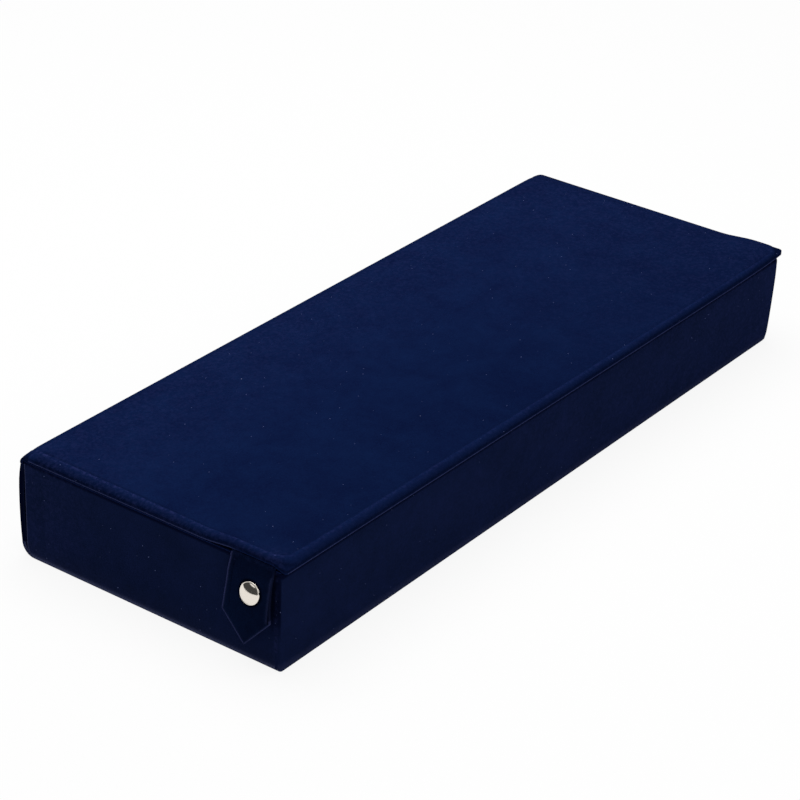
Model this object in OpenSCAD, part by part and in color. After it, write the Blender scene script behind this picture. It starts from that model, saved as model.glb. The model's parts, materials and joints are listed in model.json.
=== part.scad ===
// Velvet case for eight pairs of sunglasses, with a book-style padded cover and two snap straps.
// The origin is the centre of the underside. X runs along the case, -Y is the side that opens and
// +Z is up. The near end is at -X. All sizes are in millimetres.

/* [Tray] */
// Length of the tray over its velvet
tray_l = 490; // [300:1:700]
// Width of the tray over its velvet
tray_w = 178; // [120:1:260]
// Height of the tray from the base panel to its rim
tray_h = 57.5; // [45:0.1:90]
// Thickness of the floor and wall boards
wall_t = 2.5; // [1.5:0.1:4]
// Radius of the wall board at the rounded lower rear edge
heel_r = 5.3; // [4.5:0.1:9]
// Width of the foot of the rear wall board on the floor
foot_w = 4; // [2:0.5:12]
// Distance from the front face to the velvet seam on each end
seam_inset = 4; // [3.8:0.1:15]
// Width of the gap between the two edges of that seam
seam_gap = 0.4; // [0.1:0.1:1]

/* [Cloth] */
// Thickness of the flocked velvet
velvet_t = 0.7; // [0.4:0.1:1.2]
// Thickness of the thinner lining velvet
lining_t = 0.6; // [0.4:0.1:1.2]

/* [Compartments] */
// Number of compartments
slots = 8; // [2:1:8]
// Thickness of the board inside a divider
divider_t = 2; // [1:0.1:4]
// Height of the dividers above the floor pad
divider_h = 38; // [20:0.5:44]
// Thickness of the floor pad
pad_t = 2.2; // [1:0.1:4]
// Clearance between each end of a divider and the lining
divider_fit = 0.1; // [0.05:0.05:0.5]

/* [Cover] */
// Thickness of the base and spine boards
cover_board_t = 1.6; // [1:0.1:3]
// Thickness of the lid board
lid_board_t = 1.6; // [1.4:0.1:4]
// Clearance between the rim and the closed lid
lid_gap = 0.3; // [0.2:0.1:1]
// Overhang of the lid past each end of the tray
lid_over_end = 0; // [0:0.1:4]
// Overhang of the lid past the front of the tray
lid_over_front = 3; // [0:0.1:6]
// Gap between the tray and the spine
spine_gap = 1.2; // [0.6:0.1:3]
// Height of the outward bow of the spine
spine_bow = 1; // [0.3:0.1:3]
// Outer radius of the cloth fold under the rear edge
lower_fold_r = 8.5; // [6:0.1:12]
// Outer radius of the cloth fold over the rear edge
upper_fold_r = 7; // [5:0.1:11]
// Clearance between a cloth fold and the panel that it joins
fold_gap = 0.2; // [0.1:0.05:0.5]

/* [Padding] */
// Height of the padded field over the edge of the lid
pad_rise = 1; // [0.5:0.1:4]
// Width of the sloping border round the field
pad_border = 6; // [3:0.5:15]
// Plan radius of the field at its front corners
pad_corner_r = 8; // [4:0.5:20]
// Extra height of the field at the middle of the lid
pad_crown = 0.5; // [0.1:0.1:4]
// Thickness of the foam at the edge of the lid
foam_edge_t = 0.5; // [0.3:0.1:2]

/* [Straps] */
// Distance from the front face of the tray to the middle of a strap
strap_inset = 16.5; // [16:0.5:60]
// Width of a strap where it leaves the lid
strap_top_w = 28; // [22:0.5:40]
// Width of a strap above its point
strap_low_w = 31.5; // [24:0.5:44]
// Length of a strap from the lid to its tip
strap_l = 44.5; // [40:0.5:55]
// Length of the point of a strap
strap_point_l = 17.5; // [8:0.5:20]
// Radius of the corners of the strap outline
strap_corner_r = 1.5; // [0.5:0.1:4]
// Least radius of the corners of the stiffener
strap_core_r = 0.3; // [0.1:0.1:0.5]
// Thickness of each velvet layer of a strap
strap_layer_t = 0.8; // [0.5:0.1:1.2]
// Thickness of the stiffener between the layers
strap_core_t = 0.9; // [0.5:0.1:1.5]
// Width of the thin rim round the stiffener
strap_rim = 4.4; // [1.5:0.1:5]
// Clearance between a strap and the end wall at the top
strap_top_gap = 0.3; // [0.2:0.1:1]
// Angle at which the point of a strap stands off the wall
strap_lean = 5; // [0:0.5:12]
// Length of the tail that is glued under the lid
tail_l = 18; // [8:0.5:30]

/* [Snap fastener] */
// Distance from the underside of the lid to the snap
snap_drop = 15; // [14.5:0.5:18]
// Diameter of the cap
cap_d = 15; // [10:0.5:17]
// Height of the cap over the strap
cap_h = 3.4; // [2.5:0.1:5]
// Thickness of the metal of the cap
cap_t = 0.6; // [0.3:0.1:1]
// Diameter of the socket
socket_d = 12.4; // [10.5:0.2:14]
// Thickness of the socket
socket_h = 2.4; // [2:0.1:3]
// Diameter of the foot of the stud
stud_d = 10.4; // [8:0.2:12]
// Thickness of the foot of the stud
stud_foot_t = 0.6; // [0.4:0.1:1]
// Diameter of the knob of the stud
knob_d = 5; // [4.4:0.1:6]
// Height of the knob over its foot
knob_h = 1.8; // [1.4:0.1:2.2]
// Depth of the undercut below the knob
knob_undercut = 0.35; // [0.1:0.05:0.5]
// Diameter of the barrel of the rivet post
barrel_d = 3.2; // [2.6:0.1:3.4]
// Diameter of the flange of the rivet post
flange_d = 10; // [7:0.2:12]
// Thickness of that flange
flange_t = 0.7; // [0.4:0.1:1.2]
// Radius of the rolled edge of the socket
socket_edge_r = 0.5; // [0.2:0.1:0.8]
// Radial clearance of the knob in the socket
snap_gap = 0.4; // [0.3:0.05:0.6]
// Clearance between the knob and the roof of the socket
knob_top_gap = 0.2; // [0.1:0.05:0.4]
// Radial clearance of a rivet in its hole
rivet_gap = 0.1; // [0.05:0.05:0.3]

/* [Hidden] */
dividers = slots - 1;
divider_list = [for (k = [1:dividers]) k];
ends = ["near", "far"];
end_parts = ["end_board", "end_velvet", "snap_stud", "snap_post", "strap_tail", "strap_back",
             "strap_core", "strap_face", "snap_cap", "snap_socket"];

navy = [0.06, 0.1, 0.25];
deep_navy = [0.04, 0.07, 0.17];
greyboard = [0.62, 0.58, 0.52];
foam_white = [0.88, 0.87, 0.82];
nickel = [0.8, 0.79, 0.76];

$fn = 96;
cut = 1;

// Heights, from the table up
base_t = velvet_t + cover_board_t;
rim_z = base_t + tray_h;
wall_top_z = rim_z - lining_t;
floor_z = base_t + wall_t;
pad_z = floor_z + pad_t;
heel_z = base_t + heel_r;
lid_z = rim_z + lid_gap;
lid_board_z = lid_z + lining_t;
foam_z = lid_board_z + lid_board_t;
lid_edge_z = foam_z + foam_edge_t + velvet_t;
field_z = lid_edge_z + pad_rise;

// Places across the case, from the lip of the lid to the bow of the spine
spine_t = lining_t + cover_board_t + velvet_t;
case_w = lid_over_front + tray_w + spine_gap + spine_t + spine_bow;
lip_y = -case_w / 2;
front_y = lip_y + lid_over_front;
rear_y = front_y + tray_w;
spine_y = rear_y + spine_gap + spine_t;
board_front_y = front_y + velvet_t;
board_rear_y = rear_y - velvet_t;
heel_y = board_rear_y - heel_r;
foot_y = heel_y - foot_w;
lower_fold_y = spine_y - lower_fold_r;
upper_fold_y = spine_y - upper_fold_r;
upper_fold_z = field_z - upper_fold_r;
seam_y = front_y + seam_inset;

// Half lengths along the case
tray_x = tray_l / 2;
board_x = tray_x - velvet_t;
inner_x = board_x - wall_t;
lid_x = tray_x + lid_over_end;

// The room inside the lined walls
room_x = inner_x - lining_t;
room_front_y = board_front_y + wall_t + lining_t;
room_rear_y = board_rear_y - wall_t - lining_t;
divider_w = divider_t + 2 * velvet_t;
slot_w = (2 * room_x - dividers * divider_w) / slots;
slot_pitch = slot_w + divider_w;

// Snap and strap, measured outwards from the velvet of the end wall
strap_y = front_y + strap_inset;
strap_z = lid_z - lid_gap;
snap_z = lid_z - snap_drop;
socket_u = stud_foot_t + snap_gap;
strap_u = socket_u + socket_h;
strap_t = 2 * strap_layer_t + strap_core_t;
bend_l = snap_drop - cap_d / 2 - strap_corner_r;
bend_steps = 8;
knob_neck_d = knob_d - 2 * knob_undercut;
post_l = velvet_t + wall_t + stud_foot_t + knob_h / 2;
hole_d = barrel_d + 2 * rivet_gap;

// Stations of the padded lid, as shares of its border and of the span between
border_steps = [0, 0.04, 0.2, 0.4, 0.65, 0.9, 1.2, 2];
span_steps = 6;
fold_steps = 7;
corner_steps = 4;

// What lies inside the velvet of the lid is smaller than it by one border station
edge_fit = border_steps[1] * pad_border;

// Shapes that repeat

// Plan of the tray with both front corners rounded, grown outwards from the boards by skin
module tray_plan(skin) {
    r = wall_t + skin;
    x = board_x + skin;
    y = board_front_y - skin;
    translate([-x, y + r]) square([2 * x, board_rear_y + skin - y - r]);
    translate([r - x, y]) square([2 * (x - r), r + cut]);
    for (side = [-1, 1])
        translate([side * (x - r), y + r]) circle(r);
}

// Section of the tray between two Y places, with the rounded heel grown by skin
module tray_section(from_y, to_z, skin) {
    r = heel_r + skin;
    intersection() {
        translate([from_y, base_t]) square([board_rear_y + skin - from_y, to_z - base_t]);
        union() {
            translate([from_y, heel_z]) square([board_rear_y + skin - from_y, to_z - heel_z]);
            translate([from_y, base_t]) square([heel_y - from_y, to_z - base_t]);
            translate([heel_y, heel_z]) circle(r);
        }
    }
}

// A section drawn in Y and Z, run along X over a half length
module along(half_l) {
    translate([-half_l, 0, 0])
        rotate([90, 0, 90])
            linear_extrude(2 * half_l) children();
}

// A turned piece with its axis pointing out of the near end at the snap
module at_snap(u) {
    translate([-tray_x - u, strap_y, snap_z])
        rotate([0, -90, 0]) children();
}

// The same piece on either end of the case
module on_end(e) {
    if (e == "near")
        children();
    else
        mirror([1, 0, 0]) children();
}

// A closed sheet between an upper and a lower grid of points of the same size
module sheet_solid(upper, lower) {
    m = len(upper) - 1;
    n = len(upper[0]) - 1;
    count = (m + 1) * (n + 1);
    points = concat([for (row = upper, p = row) p], [for (row = lower, p = row) p]);
    function at(i, j) = i * (n + 1) + j;
    top = [for (i = [0:m - 1], j = [0:n - 1], half = [0, 1])
        half == 0 ? [at(i, j), at(i, j + 1), at(i + 1, j + 1)]
                  : [at(i, j), at(i + 1, j + 1), at(i + 1, j)]];
    loop = concat([for (i = [0:m - 1]) at(i, 0)], [for (j = [0:n - 1]) at(m, j)],
                  [for (i = [m:-1:1]) at(i, n)], [for (j = [n:-1:1]) at(0, j)]);
    side = [for (k = [0:len(loop) - 1], half = [0, 1])
        let (a = loop[k], b = loop[(k + 1) % len(loop)])
        half == 0 ? [a, b, b + count] : [a, b + count, a + count]];
    bottom = [for (f = top) [f[2] + count, f[1] + count, f[0] + count]];
    polyhedron(points, concat(top, bottom, side), convexity = 4);
}

// The padded surface of the lid

// Stations across a border, over the span and, at the far side, across a border again
function border(half) = [for (s = border_steps) s * pad_border - half];
function span(from, to, last) = [for (k = [1:last]) from + (to - from) * k / span_steps];
function reversed(list) = [for (k = [len(list) - 1:-1:0]) list[k]];
function x_stations(half) =
    let (near = border(half), inner = near[len(near) - 1])
    concat(near, span(inner, -inner, span_steps - 1), [for (x = reversed(near)) -x]);
function y_stations(lip) =
    let (near = border(-lip), inner = near[len(near) - 1])
    concat(near, span(inner, upper_fold_y, span_steps));

// Distance in from the edge of the field, rounded at the two front corners
field_corner_r = pad_corner_r + pad_border;
function field_inset(a, b) =
    max(a, b) < field_corner_r
        ? max(0, field_corner_r - norm([field_corner_r - a, field_corner_r - b]))
        : min(a, b);
function border_rise(d) = pad_rise * (1 - pow(1 - min(d / pad_border, 1), 2));
function crown(u, v) = pad_crown * (1 - u * u) * 4 * v * (1 - v);
function pad_height(x, y, half, lip) =
    border_rise(field_inset(half - abs(x), y - lip))
    + crown(x / half, (y - lip) / (upper_fold_y - lip));

// The padded surface as a grid; its outer stations drop to the underside of the lid
function pad_grid(half, lip, edge_z) =
    let (xs = x_stations(half), ys = y_stations(lip))
    [for (i = [0:len(xs) - 1])
        [for (j = [0:len(ys) - 1])
            let (foot = i == 0 || i == len(xs) - 1 || j == 0)
            [xs[i], ys[j], foot ? lid_z : edge_z + pad_height(xs[i], ys[j], half, lip)]]];

foam_half = lid_x - velvet_t;
foam_lip = lip_y + velvet_t;
foam_top = let (g = pad_grid(foam_half, foam_lip, lid_edge_z - velvet_t))
    [for (i = [1:len(g) - 2]) [for (j = [1:len(g[0]) - 1]) g[i][j]]];

// The cloth over the upper fold: its radius drops at the ends like the border of the lid
function fold_grid(skin) =
    let (xs = x_stations(lid_x))
    [for (i = [1:len(xs) - 2])
        [for (k = [0:fold_steps])
            let (
                share = k / fold_steps,
                turn = 90 * (1 - share),
                drop = (1 - share) * (pad_rise - border_rise(lid_x - abs(xs[i]))),
                r = upper_fold_r - drop - skin,
                x = xs[i] * (1 - share * lid_over_end / lid_x))
            [x, upper_fold_y + r * cos(turn) + fold_gap * sin(turn),
             upper_fold_z + r * sin(turn) + fold_gap * cos(turn)]]];

// The strap

// Place of the inner face of a strap, outwards from the wall, at a distance down from its top
function strap_stand(d) =
    let (snap_low = snap_drop + cap_d / 2)
    d < bend_l ? strap_top_gap + (strap_u - strap_top_gap) * (1 - cos(180 * d / bend_l)) / 2
    : d < snap_low ? strap_u
    : strap_u + (d - snap_low) * tan(strap_lean);
strap_steps = concat([for (k = [0:bend_steps]) bend_l * k / bend_steps],
                     [snap_drop + cap_d / 2, strap_l + cut]);

// Outline of a strap, drawn with its top at zero and its tip down, taken in by inset
function strap_points(inset) =
    let (
        shoulder = strap_l - strap_point_l,
        flank = atan2((strap_low_w - strap_top_w) / 2, shoulder),
        slope = atan2(strap_low_w / 2, strap_point_l),
        low_x = strap_low_w / 2 - inset / cos(flank)
                - inset * tan((slope + flank) / 2) * sin(flank),
        tip = strap_l - inset / sin(slope),
        low = tip - low_x / tan(slope),
        top_x = low_x - (low - inset) * tan(flank))
    [[-top_x, -inset], [-low_x, -low], [0, -tip], [low_x, -low], [top_x, -inset]];

// The outline with rounded lower corners, as a plate between two distances from the wall face
module strap_plate(inset, from_t, to_t) {
    r = max(strap_corner_r - inset, strap_core_r);
    intersection() {
        translate([-tray_x, 0, strap_z])
            rotate([90, 0, -90])
                translate([-strap_y, 0, 0])
                    linear_extrude(strap_u + strap_t + strap_l) rounded_low(strap_points(inset), r);
        translate([0, strap_y + strap_low_w, 0])
            rotate([90, 0, 0])
                linear_extrude(2 * strap_low_w)
                    polygon(concat(
                        [for (d = strap_steps) [-tray_x - strap_stand(d) - from_t, strap_z - d]],
                        [for (d = reversed(strap_steps)) [-tray_x - strap_stand(d) - to_t, strap_z - d]]));
    }
}

// A convex outline whose corners, but for the first and last, are cut back to a radius
module rounded_low(points, r) {
    last = len(points) - 1;
    polygon(concat([points[0]],
        [for (k = [1:last - 1], s = [0:corner_steps])
            let (
                before = unit(points[k - 1] - points[k]),
                after = unit(points[k + 1] - points[k]),
                half = acos(before * after) / 2,
                centre = points[k] + unit(before + after) * r / sin(half),
                from = points[k] + before * r / tan(half) - centre,
                to = points[k] + after * r / tan(half) - centre,
                t = s / corner_steps)
            centre + r * unit(from * (1 - t) + to * t)],
        [points[last]]));
}
function unit(v) = v / norm(v);

// Sub-parts of the tray

module base_velvet() {
    color(navy)
        difference() {
            linear_extrude(base_t)
                intersection() {
                    tray_plan(velvet_t);
                    translate([-tray_x, front_y]) square([tray_l, lower_fold_y - front_y]);
                }
            translate([0, 0, velvet_t])
                linear_extrude(base_t) tray_plan(0);
        }
}

module base_board() {
    color(greyboard)
        translate([0, 0, velvet_t])
            linear_extrude(cover_board_t)
                intersection() {
                    tray_plan(0);
                    translate([-tray_x, front_y]) square([tray_l, lower_fold_y - front_y]);
                }
}

module floor_board() {
    color(greyboard)
        translate([-board_x, board_front_y + wall_t, base_t])
            cube([2 * board_x, foot_y - board_front_y - wall_t, wall_t]);
}

module front_wall_board() {
    color(greyboard)
        translate([0, 0, base_t])
            linear_extrude(wall_top_z - base_t)
                intersection() {
                    tray_plan(0);
                    translate([-tray_x, board_front_y]) square([tray_l, wall_t]);
                }
}

module rear_wall_board() {
    color(greyboard)
        along(board_x)
            difference() {
                tray_section(foot_y, wall_top_z, 0);
                tray_section_inside(foot_y - cut);
            }
}

// Section of the room between the boards, above the floor board
module tray_section_inside(from_y) {
    r = heel_r - wall_t;
    rear = board_rear_y - wall_t;
    translate([from_y, floor_z]) square([heel_y - from_y, tray_h]);
    translate([from_y, heel_z]) square([rear - from_y, tray_h]);
    translate([heel_y, heel_z]) circle(r);
}

module end_board(e) {
    color(greyboard)
        on_end(e)
            difference() {
                intersection() {
                    translate([-board_x, 0, 0])
                        rotate([90, 0, 90])
                            linear_extrude(wall_t) tray_section_inside(board_front_y + wall_t);
                    translate([-board_x, front_y, 0]) cube([wall_t, tray_w, wall_top_z]);
                }
                at_snap(-velvet_t - wall_t - cut) cylinder(d = hole_d, h = wall_t + 2 * cut);
                at_snap(-velvet_t - wall_t - cut)
                    cylinder(d = flange_d + 2 * rivet_gap, h = flange_t + cut);
            }
}

module end_velvet(e) {
    seam_edge = seam_y + seam_gap / 2;
    color(navy)
        on_end(e)
            difference() {
                translate([-tray_x, 0, 0])
                    rotate([90, 0, 90])
                        linear_extrude(velvet_t) tray_section(seam_edge, wall_top_z, velvet_t);
                at_snap(-velvet_t - cut) cylinder(d = hole_d, h = velvet_t + 2 * cut);
            }
}

module front_velvet() {
    color(navy)
        translate([0, 0, base_t])
            linear_extrude(wall_top_z - base_t)
                intersection() {
                    difference() {
                        tray_plan(velvet_t);
                        tray_plan(0);
                    }
                    translate([-tray_x, front_y]) square([tray_l, seam_inset - seam_gap / 2]);
                }
}

module rear_velvet() {
    color(navy)
        along(board_x)
            difference() {
                tray_section(foot_y, wall_top_z, velvet_t);
                tray_section(foot_y - cut, wall_top_z + cut, 0);
            }
}

// The lining covers the rim and hangs down the inside of the walls to the floor pad
module wall_lining() {
    color(deep_navy)
        difference() {
            union() {
                translate([0, 0, wall_top_z])
                    linear_extrude(lining_t) tray_plan(velvet_t);
                intersection() {
                    translate([-inner_x, board_front_y + wall_t, pad_z])
                        cube([2 * inner_x, tray_w, wall_top_z + lining_t / 2 - pad_z]);
                    along(inner_x) tray_section_inside(board_front_y);
                }
            }
            translate([-room_x, room_front_y, 0])
                cube([2 * room_x, room_rear_y - room_front_y, rim_z + cut]);
        }
}

module floor_pad() {
    color(deep_navy)
        intersection() {
            along(inner_x) tray_section_inside(board_front_y + wall_t);
            translate([-inner_x, front_y, floor_z]) cube([2 * inner_x, tray_w, pad_t]);
        }
}

// Middle of a divider along the case
function divider_x(k) = -room_x + k * slot_pitch - divider_w / 2;
divider_core_h = divider_h - velvet_t - divider_t / 2;
divider_l = room_rear_y - room_front_y - 2 * divider_fit;

module divider_board(k) {
    color(greyboard)
        translate([divider_x(k) - divider_t / 2, room_front_y + divider_fit, pad_z])
            cube([divider_t, divider_l, divider_core_h]);
}

module divider_velvet(k) {
    r = divider_w / 2;
    color(deep_navy)
        translate([divider_x(k), room_rear_y - divider_fit, pad_z])
            rotate([90, 0, 0])
                linear_extrude(divider_l)
                    difference() {
                        union() {
                            translate([-r, 0]) square([divider_w, divider_h - r]);
                            translate([0, divider_h - r]) circle(r);
                        }
                        translate([-divider_t / 2, -cut])
                            square([divider_t, divider_core_h + cut]);
                    }
}

// Sub-parts of the cover

module lower_fold_cloth() {
    color(navy)
        along(tray_x)
            intersection() {
                difference() {
                    translate([lower_fold_y, lower_fold_r]) circle(lower_fold_r);
                    translate([lower_fold_y, lower_fold_r]) circle(lower_fold_r - velvet_t);
                }
                translate([lower_fold_y + fold_gap, 0])
                    square([lower_fold_r, lower_fold_r - fold_gap]);
            }
}

// The bowed section of the spine between two depths below its outer face
spine_steps = 12;
spine_low = lower_fold_r;
spine_high = upper_fold_z;
function spine_line(depth) = [for (k = [0:spine_steps])
    let (t = k / spine_steps)
    [spine_y - depth + spine_bow * 4 * t * (1 - t), spine_low + (spine_high - spine_low) * t]];
module spine_section(from_depth, to_depth) {
    polygon(concat(spine_line(from_depth), reversed(spine_line(to_depth))));
}

module spine_board() {
    color(greyboard)
        along(board_x) spine_section(velvet_t, velvet_t + cover_board_t);
}

module spine_velvet() {
    color(navy)
        difference() {
            along(tray_x) spine_section(0, spine_t);
            along(board_x) spine_section(velvet_t, spine_t + cut);
        }
}

module spine_lining() {
    color(deep_navy)
        along(board_x) spine_section(velvet_t + cover_board_t, spine_t);
}

module upper_fold_cloth() {
    color(navy) sheet_solid(fold_grid(0), fold_grid(velvet_t));
}

module lid_lining() {
    color(deep_navy)
        translate([edge_fit - foam_half, foam_lip + edge_fit, lid_z])
            cube([2 * (foam_half - edge_fit), upper_fold_y - foam_lip - edge_fit, lining_t]);
}

// The board holds both tails in recesses of its underside
module lid_board() {
    color(greyboard)
        difference() {
            translate([edge_fit - foam_half, foam_lip + edge_fit, lid_board_z])
                cube([2 * (foam_half - edge_fit), upper_fold_y - foam_lip - edge_fit, lid_board_t]);
            for (e = ends)
                on_end(e)
                    translate([-foam_half - cut, strap_y - strap_top_w / 2, lid_board_z - cut])
                        cube([tail_l + cut, strap_top_w, strap_layer_t + cut]);
        }
}

module lid_foam() {
    color(foam_white)
        sheet_solid(foam_top, [for (row = foam_top) [for (p = row) [p[0], p[1], foam_z]]]);
}

module lid_velvet() {
    color(navy)
        sheet_solid(pad_grid(lid_x, lip_y, lid_edge_z),
                    pad_grid(foam_half, foam_lip, lid_edge_z - velvet_t));
}

// Sub-parts of the straps

module strap_tail(e) {
    color(navy)
        on_end(e)
            translate([edge_fit - foam_half, strap_y - strap_top_w / 2, lid_board_z])
                cube([tail_l - edge_fit, strap_top_w, strap_layer_t]);
}

module strap_back(e) {
    color(navy)
        on_end(e)
            difference() {
                strap_plate(0, 0, strap_layer_t);
                at_snap(0) cylinder(d = hole_d, h = strap_u + strap_t);
            }
}

module strap_core(e) {
    color(greyboard)
        on_end(e)
            difference() {
                strap_plate(strap_rim, strap_layer_t, strap_layer_t + strap_core_t);
                at_snap(0) cylinder(d = hole_d, h = strap_u + 2 * strap_t);
            }
}

// The face lies on the back along the rim and rises over the stiffener
module strap_face(e) {
    color(navy)
        on_end(e)
            difference() {
                union() {
                    strap_plate(0, strap_layer_t, 2 * strap_layer_t);
                    strap_plate(strap_rim - strap_layer_t, strap_layer_t, strap_t);
                }
                strap_plate(strap_rim, 0, strap_layer_t + strap_core_t);
                at_snap(0) cylinder(d = hole_d, h = strap_u + 2 * strap_t);
            }
}

// Parts of the snap fastener

module snap_stud(e) {
    neck_top = stud_foot_t + knob_h / 3;
    widest = stud_foot_t + knob_h / 2;
    bevel = stud_foot_t + knob_h * 2 / 3;
    top = stud_foot_t + knob_h;
    bore_r = hole_d / 2;
    bore_top = stud_foot_t + knob_h / 2 + rivet_gap;
    color(nickel)
        on_end(e)
            at_snap(0)
                rotate_extrude()
                    polygon([[bore_r, 0], [stud_d / 2, 0], [stud_d / 2, stud_foot_t],
                             [knob_neck_d / 2, stud_foot_t], [knob_neck_d / 2, neck_top],
                             [knob_d / 2, widest], [knob_d / 2, bevel],
                             [knob_neck_d / 2, top], [0, top], [0, bore_top], [bore_r, bore_top]]);
}

module snap_post(e) {
    color(nickel)
        on_end(e)
            at_snap(-velvet_t - wall_t)
                rotate_extrude() {
                    square([flange_d / 2, flange_t]);
                    square([barrel_d / 2, post_l]);
                }
}

// A domed cap with a rolled edge, on a post that ends in the socket
module snap_cap(e) {
    dome_h = cap_h - cap_t;
    dome_r = (pow(cap_d / 2, 2) + pow(dome_h, 2)) / (2 * dome_h);
    post_end = strap_t + cap_t / 2;
    color(nickel)
        on_end(e)
            at_snap(strap_u + strap_t)
                rotate_extrude() {
                    intersection() {
                        translate([0, cap_h - dome_r]) circle(dome_r);
                        translate([0, cap_t]) square([cap_d / 2, cap_h]);
                    }
                    square([cap_d / 2 - cap_t / 2, cap_t]);
                    translate([cap_d / 2 - cap_t / 2, cap_t / 2]) circle(cap_t / 2);
                    translate([0, -post_end]) square([barrel_d / 2, post_end + cap_t / 2]);
                }
}

// The socket takes the knob with clearance all round
module snap_socket(e) {
    cup_d = knob_d + 2 * snap_gap;
    cup_h = knob_h - snap_gap + knob_top_gap;
    roof_t = socket_h - cup_h;
    r = socket_edge_r;
    color(nickel)
        on_end(e)
            at_snap(socket_u)
                rotate_extrude()
                    difference() {
                        union() {
                            square([socket_d / 2 - r, socket_h]);
                            translate([0, r]) square([socket_d / 2, socket_h - 2 * r]);
                            for (z = [r, socket_h - r])
                                translate([socket_d / 2 - r, z]) circle(r);
                        }
                        translate([-cut, -cut]) square([cut + cup_d / 2, cut + cup_h]);
                        translate([-cut, socket_h - roof_t - cut])
                            square([cut + hole_d / 2, roof_t + 2 * cut]);
                    }
}

base_velvet();
base_board();
floor_board();
front_wall_board();
rear_wall_board();
front_velvet();
rear_velvet();
wall_lining();
floor_pad();
lower_fold_cloth();
spine_board();
spine_velvet();
spine_lining();
upper_fold_cloth();
lid_lining();
lid_board();
lid_foam();
lid_velvet();
for (k = divider_list) {
    divider_board(k);
    divider_velvet(k);
}
for (e = ends) {
    end_board(e);
    end_velvet(e);
    snap_stud(e);
    snap_post(e);
    strap_tail(e);
    strap_back(e);
    strap_core(e);
    strap_face(e);
    snap_cap(e);
    snap_socket(e);
}
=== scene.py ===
"""Looks of the velvet case for eight pairs of sunglasses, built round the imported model.

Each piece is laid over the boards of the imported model, rides on one of its bodies and is dressed
in a procedural material. Sizes are in millimetres until a mesh is made from them.
"""
import json
import logging
import math
from contextlib import contextmanager
from dataclasses import dataclass
from enum import Enum
from typing import Callable, Iterator, Mapping, Sequence

import bpy
from mathutils import Matrix, Vector, noise

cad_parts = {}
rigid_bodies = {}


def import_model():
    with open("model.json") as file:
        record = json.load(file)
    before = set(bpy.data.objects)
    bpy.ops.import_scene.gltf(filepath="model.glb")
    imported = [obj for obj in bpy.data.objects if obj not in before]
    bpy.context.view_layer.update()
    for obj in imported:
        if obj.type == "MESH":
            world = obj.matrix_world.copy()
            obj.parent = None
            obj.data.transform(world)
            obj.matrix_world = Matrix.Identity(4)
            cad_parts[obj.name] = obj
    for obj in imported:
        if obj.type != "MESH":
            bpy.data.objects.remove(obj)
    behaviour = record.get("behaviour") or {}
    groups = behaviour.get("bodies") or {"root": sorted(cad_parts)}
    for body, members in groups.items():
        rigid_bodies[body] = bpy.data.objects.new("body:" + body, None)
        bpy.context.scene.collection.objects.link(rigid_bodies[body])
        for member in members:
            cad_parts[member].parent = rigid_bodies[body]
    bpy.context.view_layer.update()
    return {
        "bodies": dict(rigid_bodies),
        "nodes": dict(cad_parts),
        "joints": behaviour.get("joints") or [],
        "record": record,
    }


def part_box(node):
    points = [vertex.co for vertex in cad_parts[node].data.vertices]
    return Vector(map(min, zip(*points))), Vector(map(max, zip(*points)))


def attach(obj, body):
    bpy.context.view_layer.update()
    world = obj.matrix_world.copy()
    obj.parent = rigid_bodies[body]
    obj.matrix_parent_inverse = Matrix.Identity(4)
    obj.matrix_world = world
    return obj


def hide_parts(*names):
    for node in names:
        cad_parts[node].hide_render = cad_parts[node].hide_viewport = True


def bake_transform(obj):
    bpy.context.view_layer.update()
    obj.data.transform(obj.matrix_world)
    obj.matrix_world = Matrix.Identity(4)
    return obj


MM = 0.001
Piece = bpy.types.Object
Form = Callable[[float, float], tuple[float, float, float]]
LOG = logging.getLogger("velvet_case")


class Side(Enum):
    """The two ends of the case; the value is the sign of X."""

    NEAR = -1
    FAR = 1

    @property
    def word(self) -> str:
        """Name of the end in node and body names."""
        return self.name.lower()


# Modelling helpers

def deselect_all() -> None:
    """Deselect every object."""
    bpy.ops.object.select_all(action="DESELECT")


def activate(piece: Piece) -> None:
    """Make one piece the only selected and the active one.

    Args:
        piece: the object to work on.
    """
    deselect_all()
    piece.select_set(True)
    bpy.context.view_layer.objects.active = piece


@contextmanager
def editing(piece: Piece, kind: str = "VERT", whole: bool = False) -> Iterator[None]:
    """Hold one piece in edit mode.

    Args:
        piece: the object to edit.
        kind: VERT, EDGE or FACE, what is selected.
        whole: whether all of it is selected; otherwise its selection is kept.
    """
    activate(piece)
    bpy.context.tool_settings.mesh_select_mode = tuple(kind == k for k in ("VERT", "EDGE", "FACE"))
    bpy.ops.object.mode_set(mode="EDIT")
    if whole:
        bpy.ops.mesh.select_all(action="SELECT")
    yield
    bpy.ops.object.mode_set(mode="OBJECT")


def choose(piece: Piece, kind: str, wanted: Callable[[Vector], bool]) -> None:
    """Select the vertices, edges or faces whose middle is wanted.

    Args:
        piece: the object whose mesh is searched.
        kind: VERT, EDGE or FACE.
        wanted: says of a middle, in millimetres, whether it is selected.
    """
    mesh = piece.data
    for group in (mesh.vertices, mesh.edges, mesh.polygons):
        group.foreach_set("select", [False] * len(group))
    points = mesh.vertices
    if kind == "VERT":
        for point in points:
            point.select = wanted(point.co / MM)
    elif kind == "EDGE":
        for edge in mesh.edges:
            a, b = edge.vertices
            edge.select = wanted((points[a].co + points[b].co) / (2 * MM))
    else:
        for face in mesh.polygons:
            face.select = wanted(face.center / MM)


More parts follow.
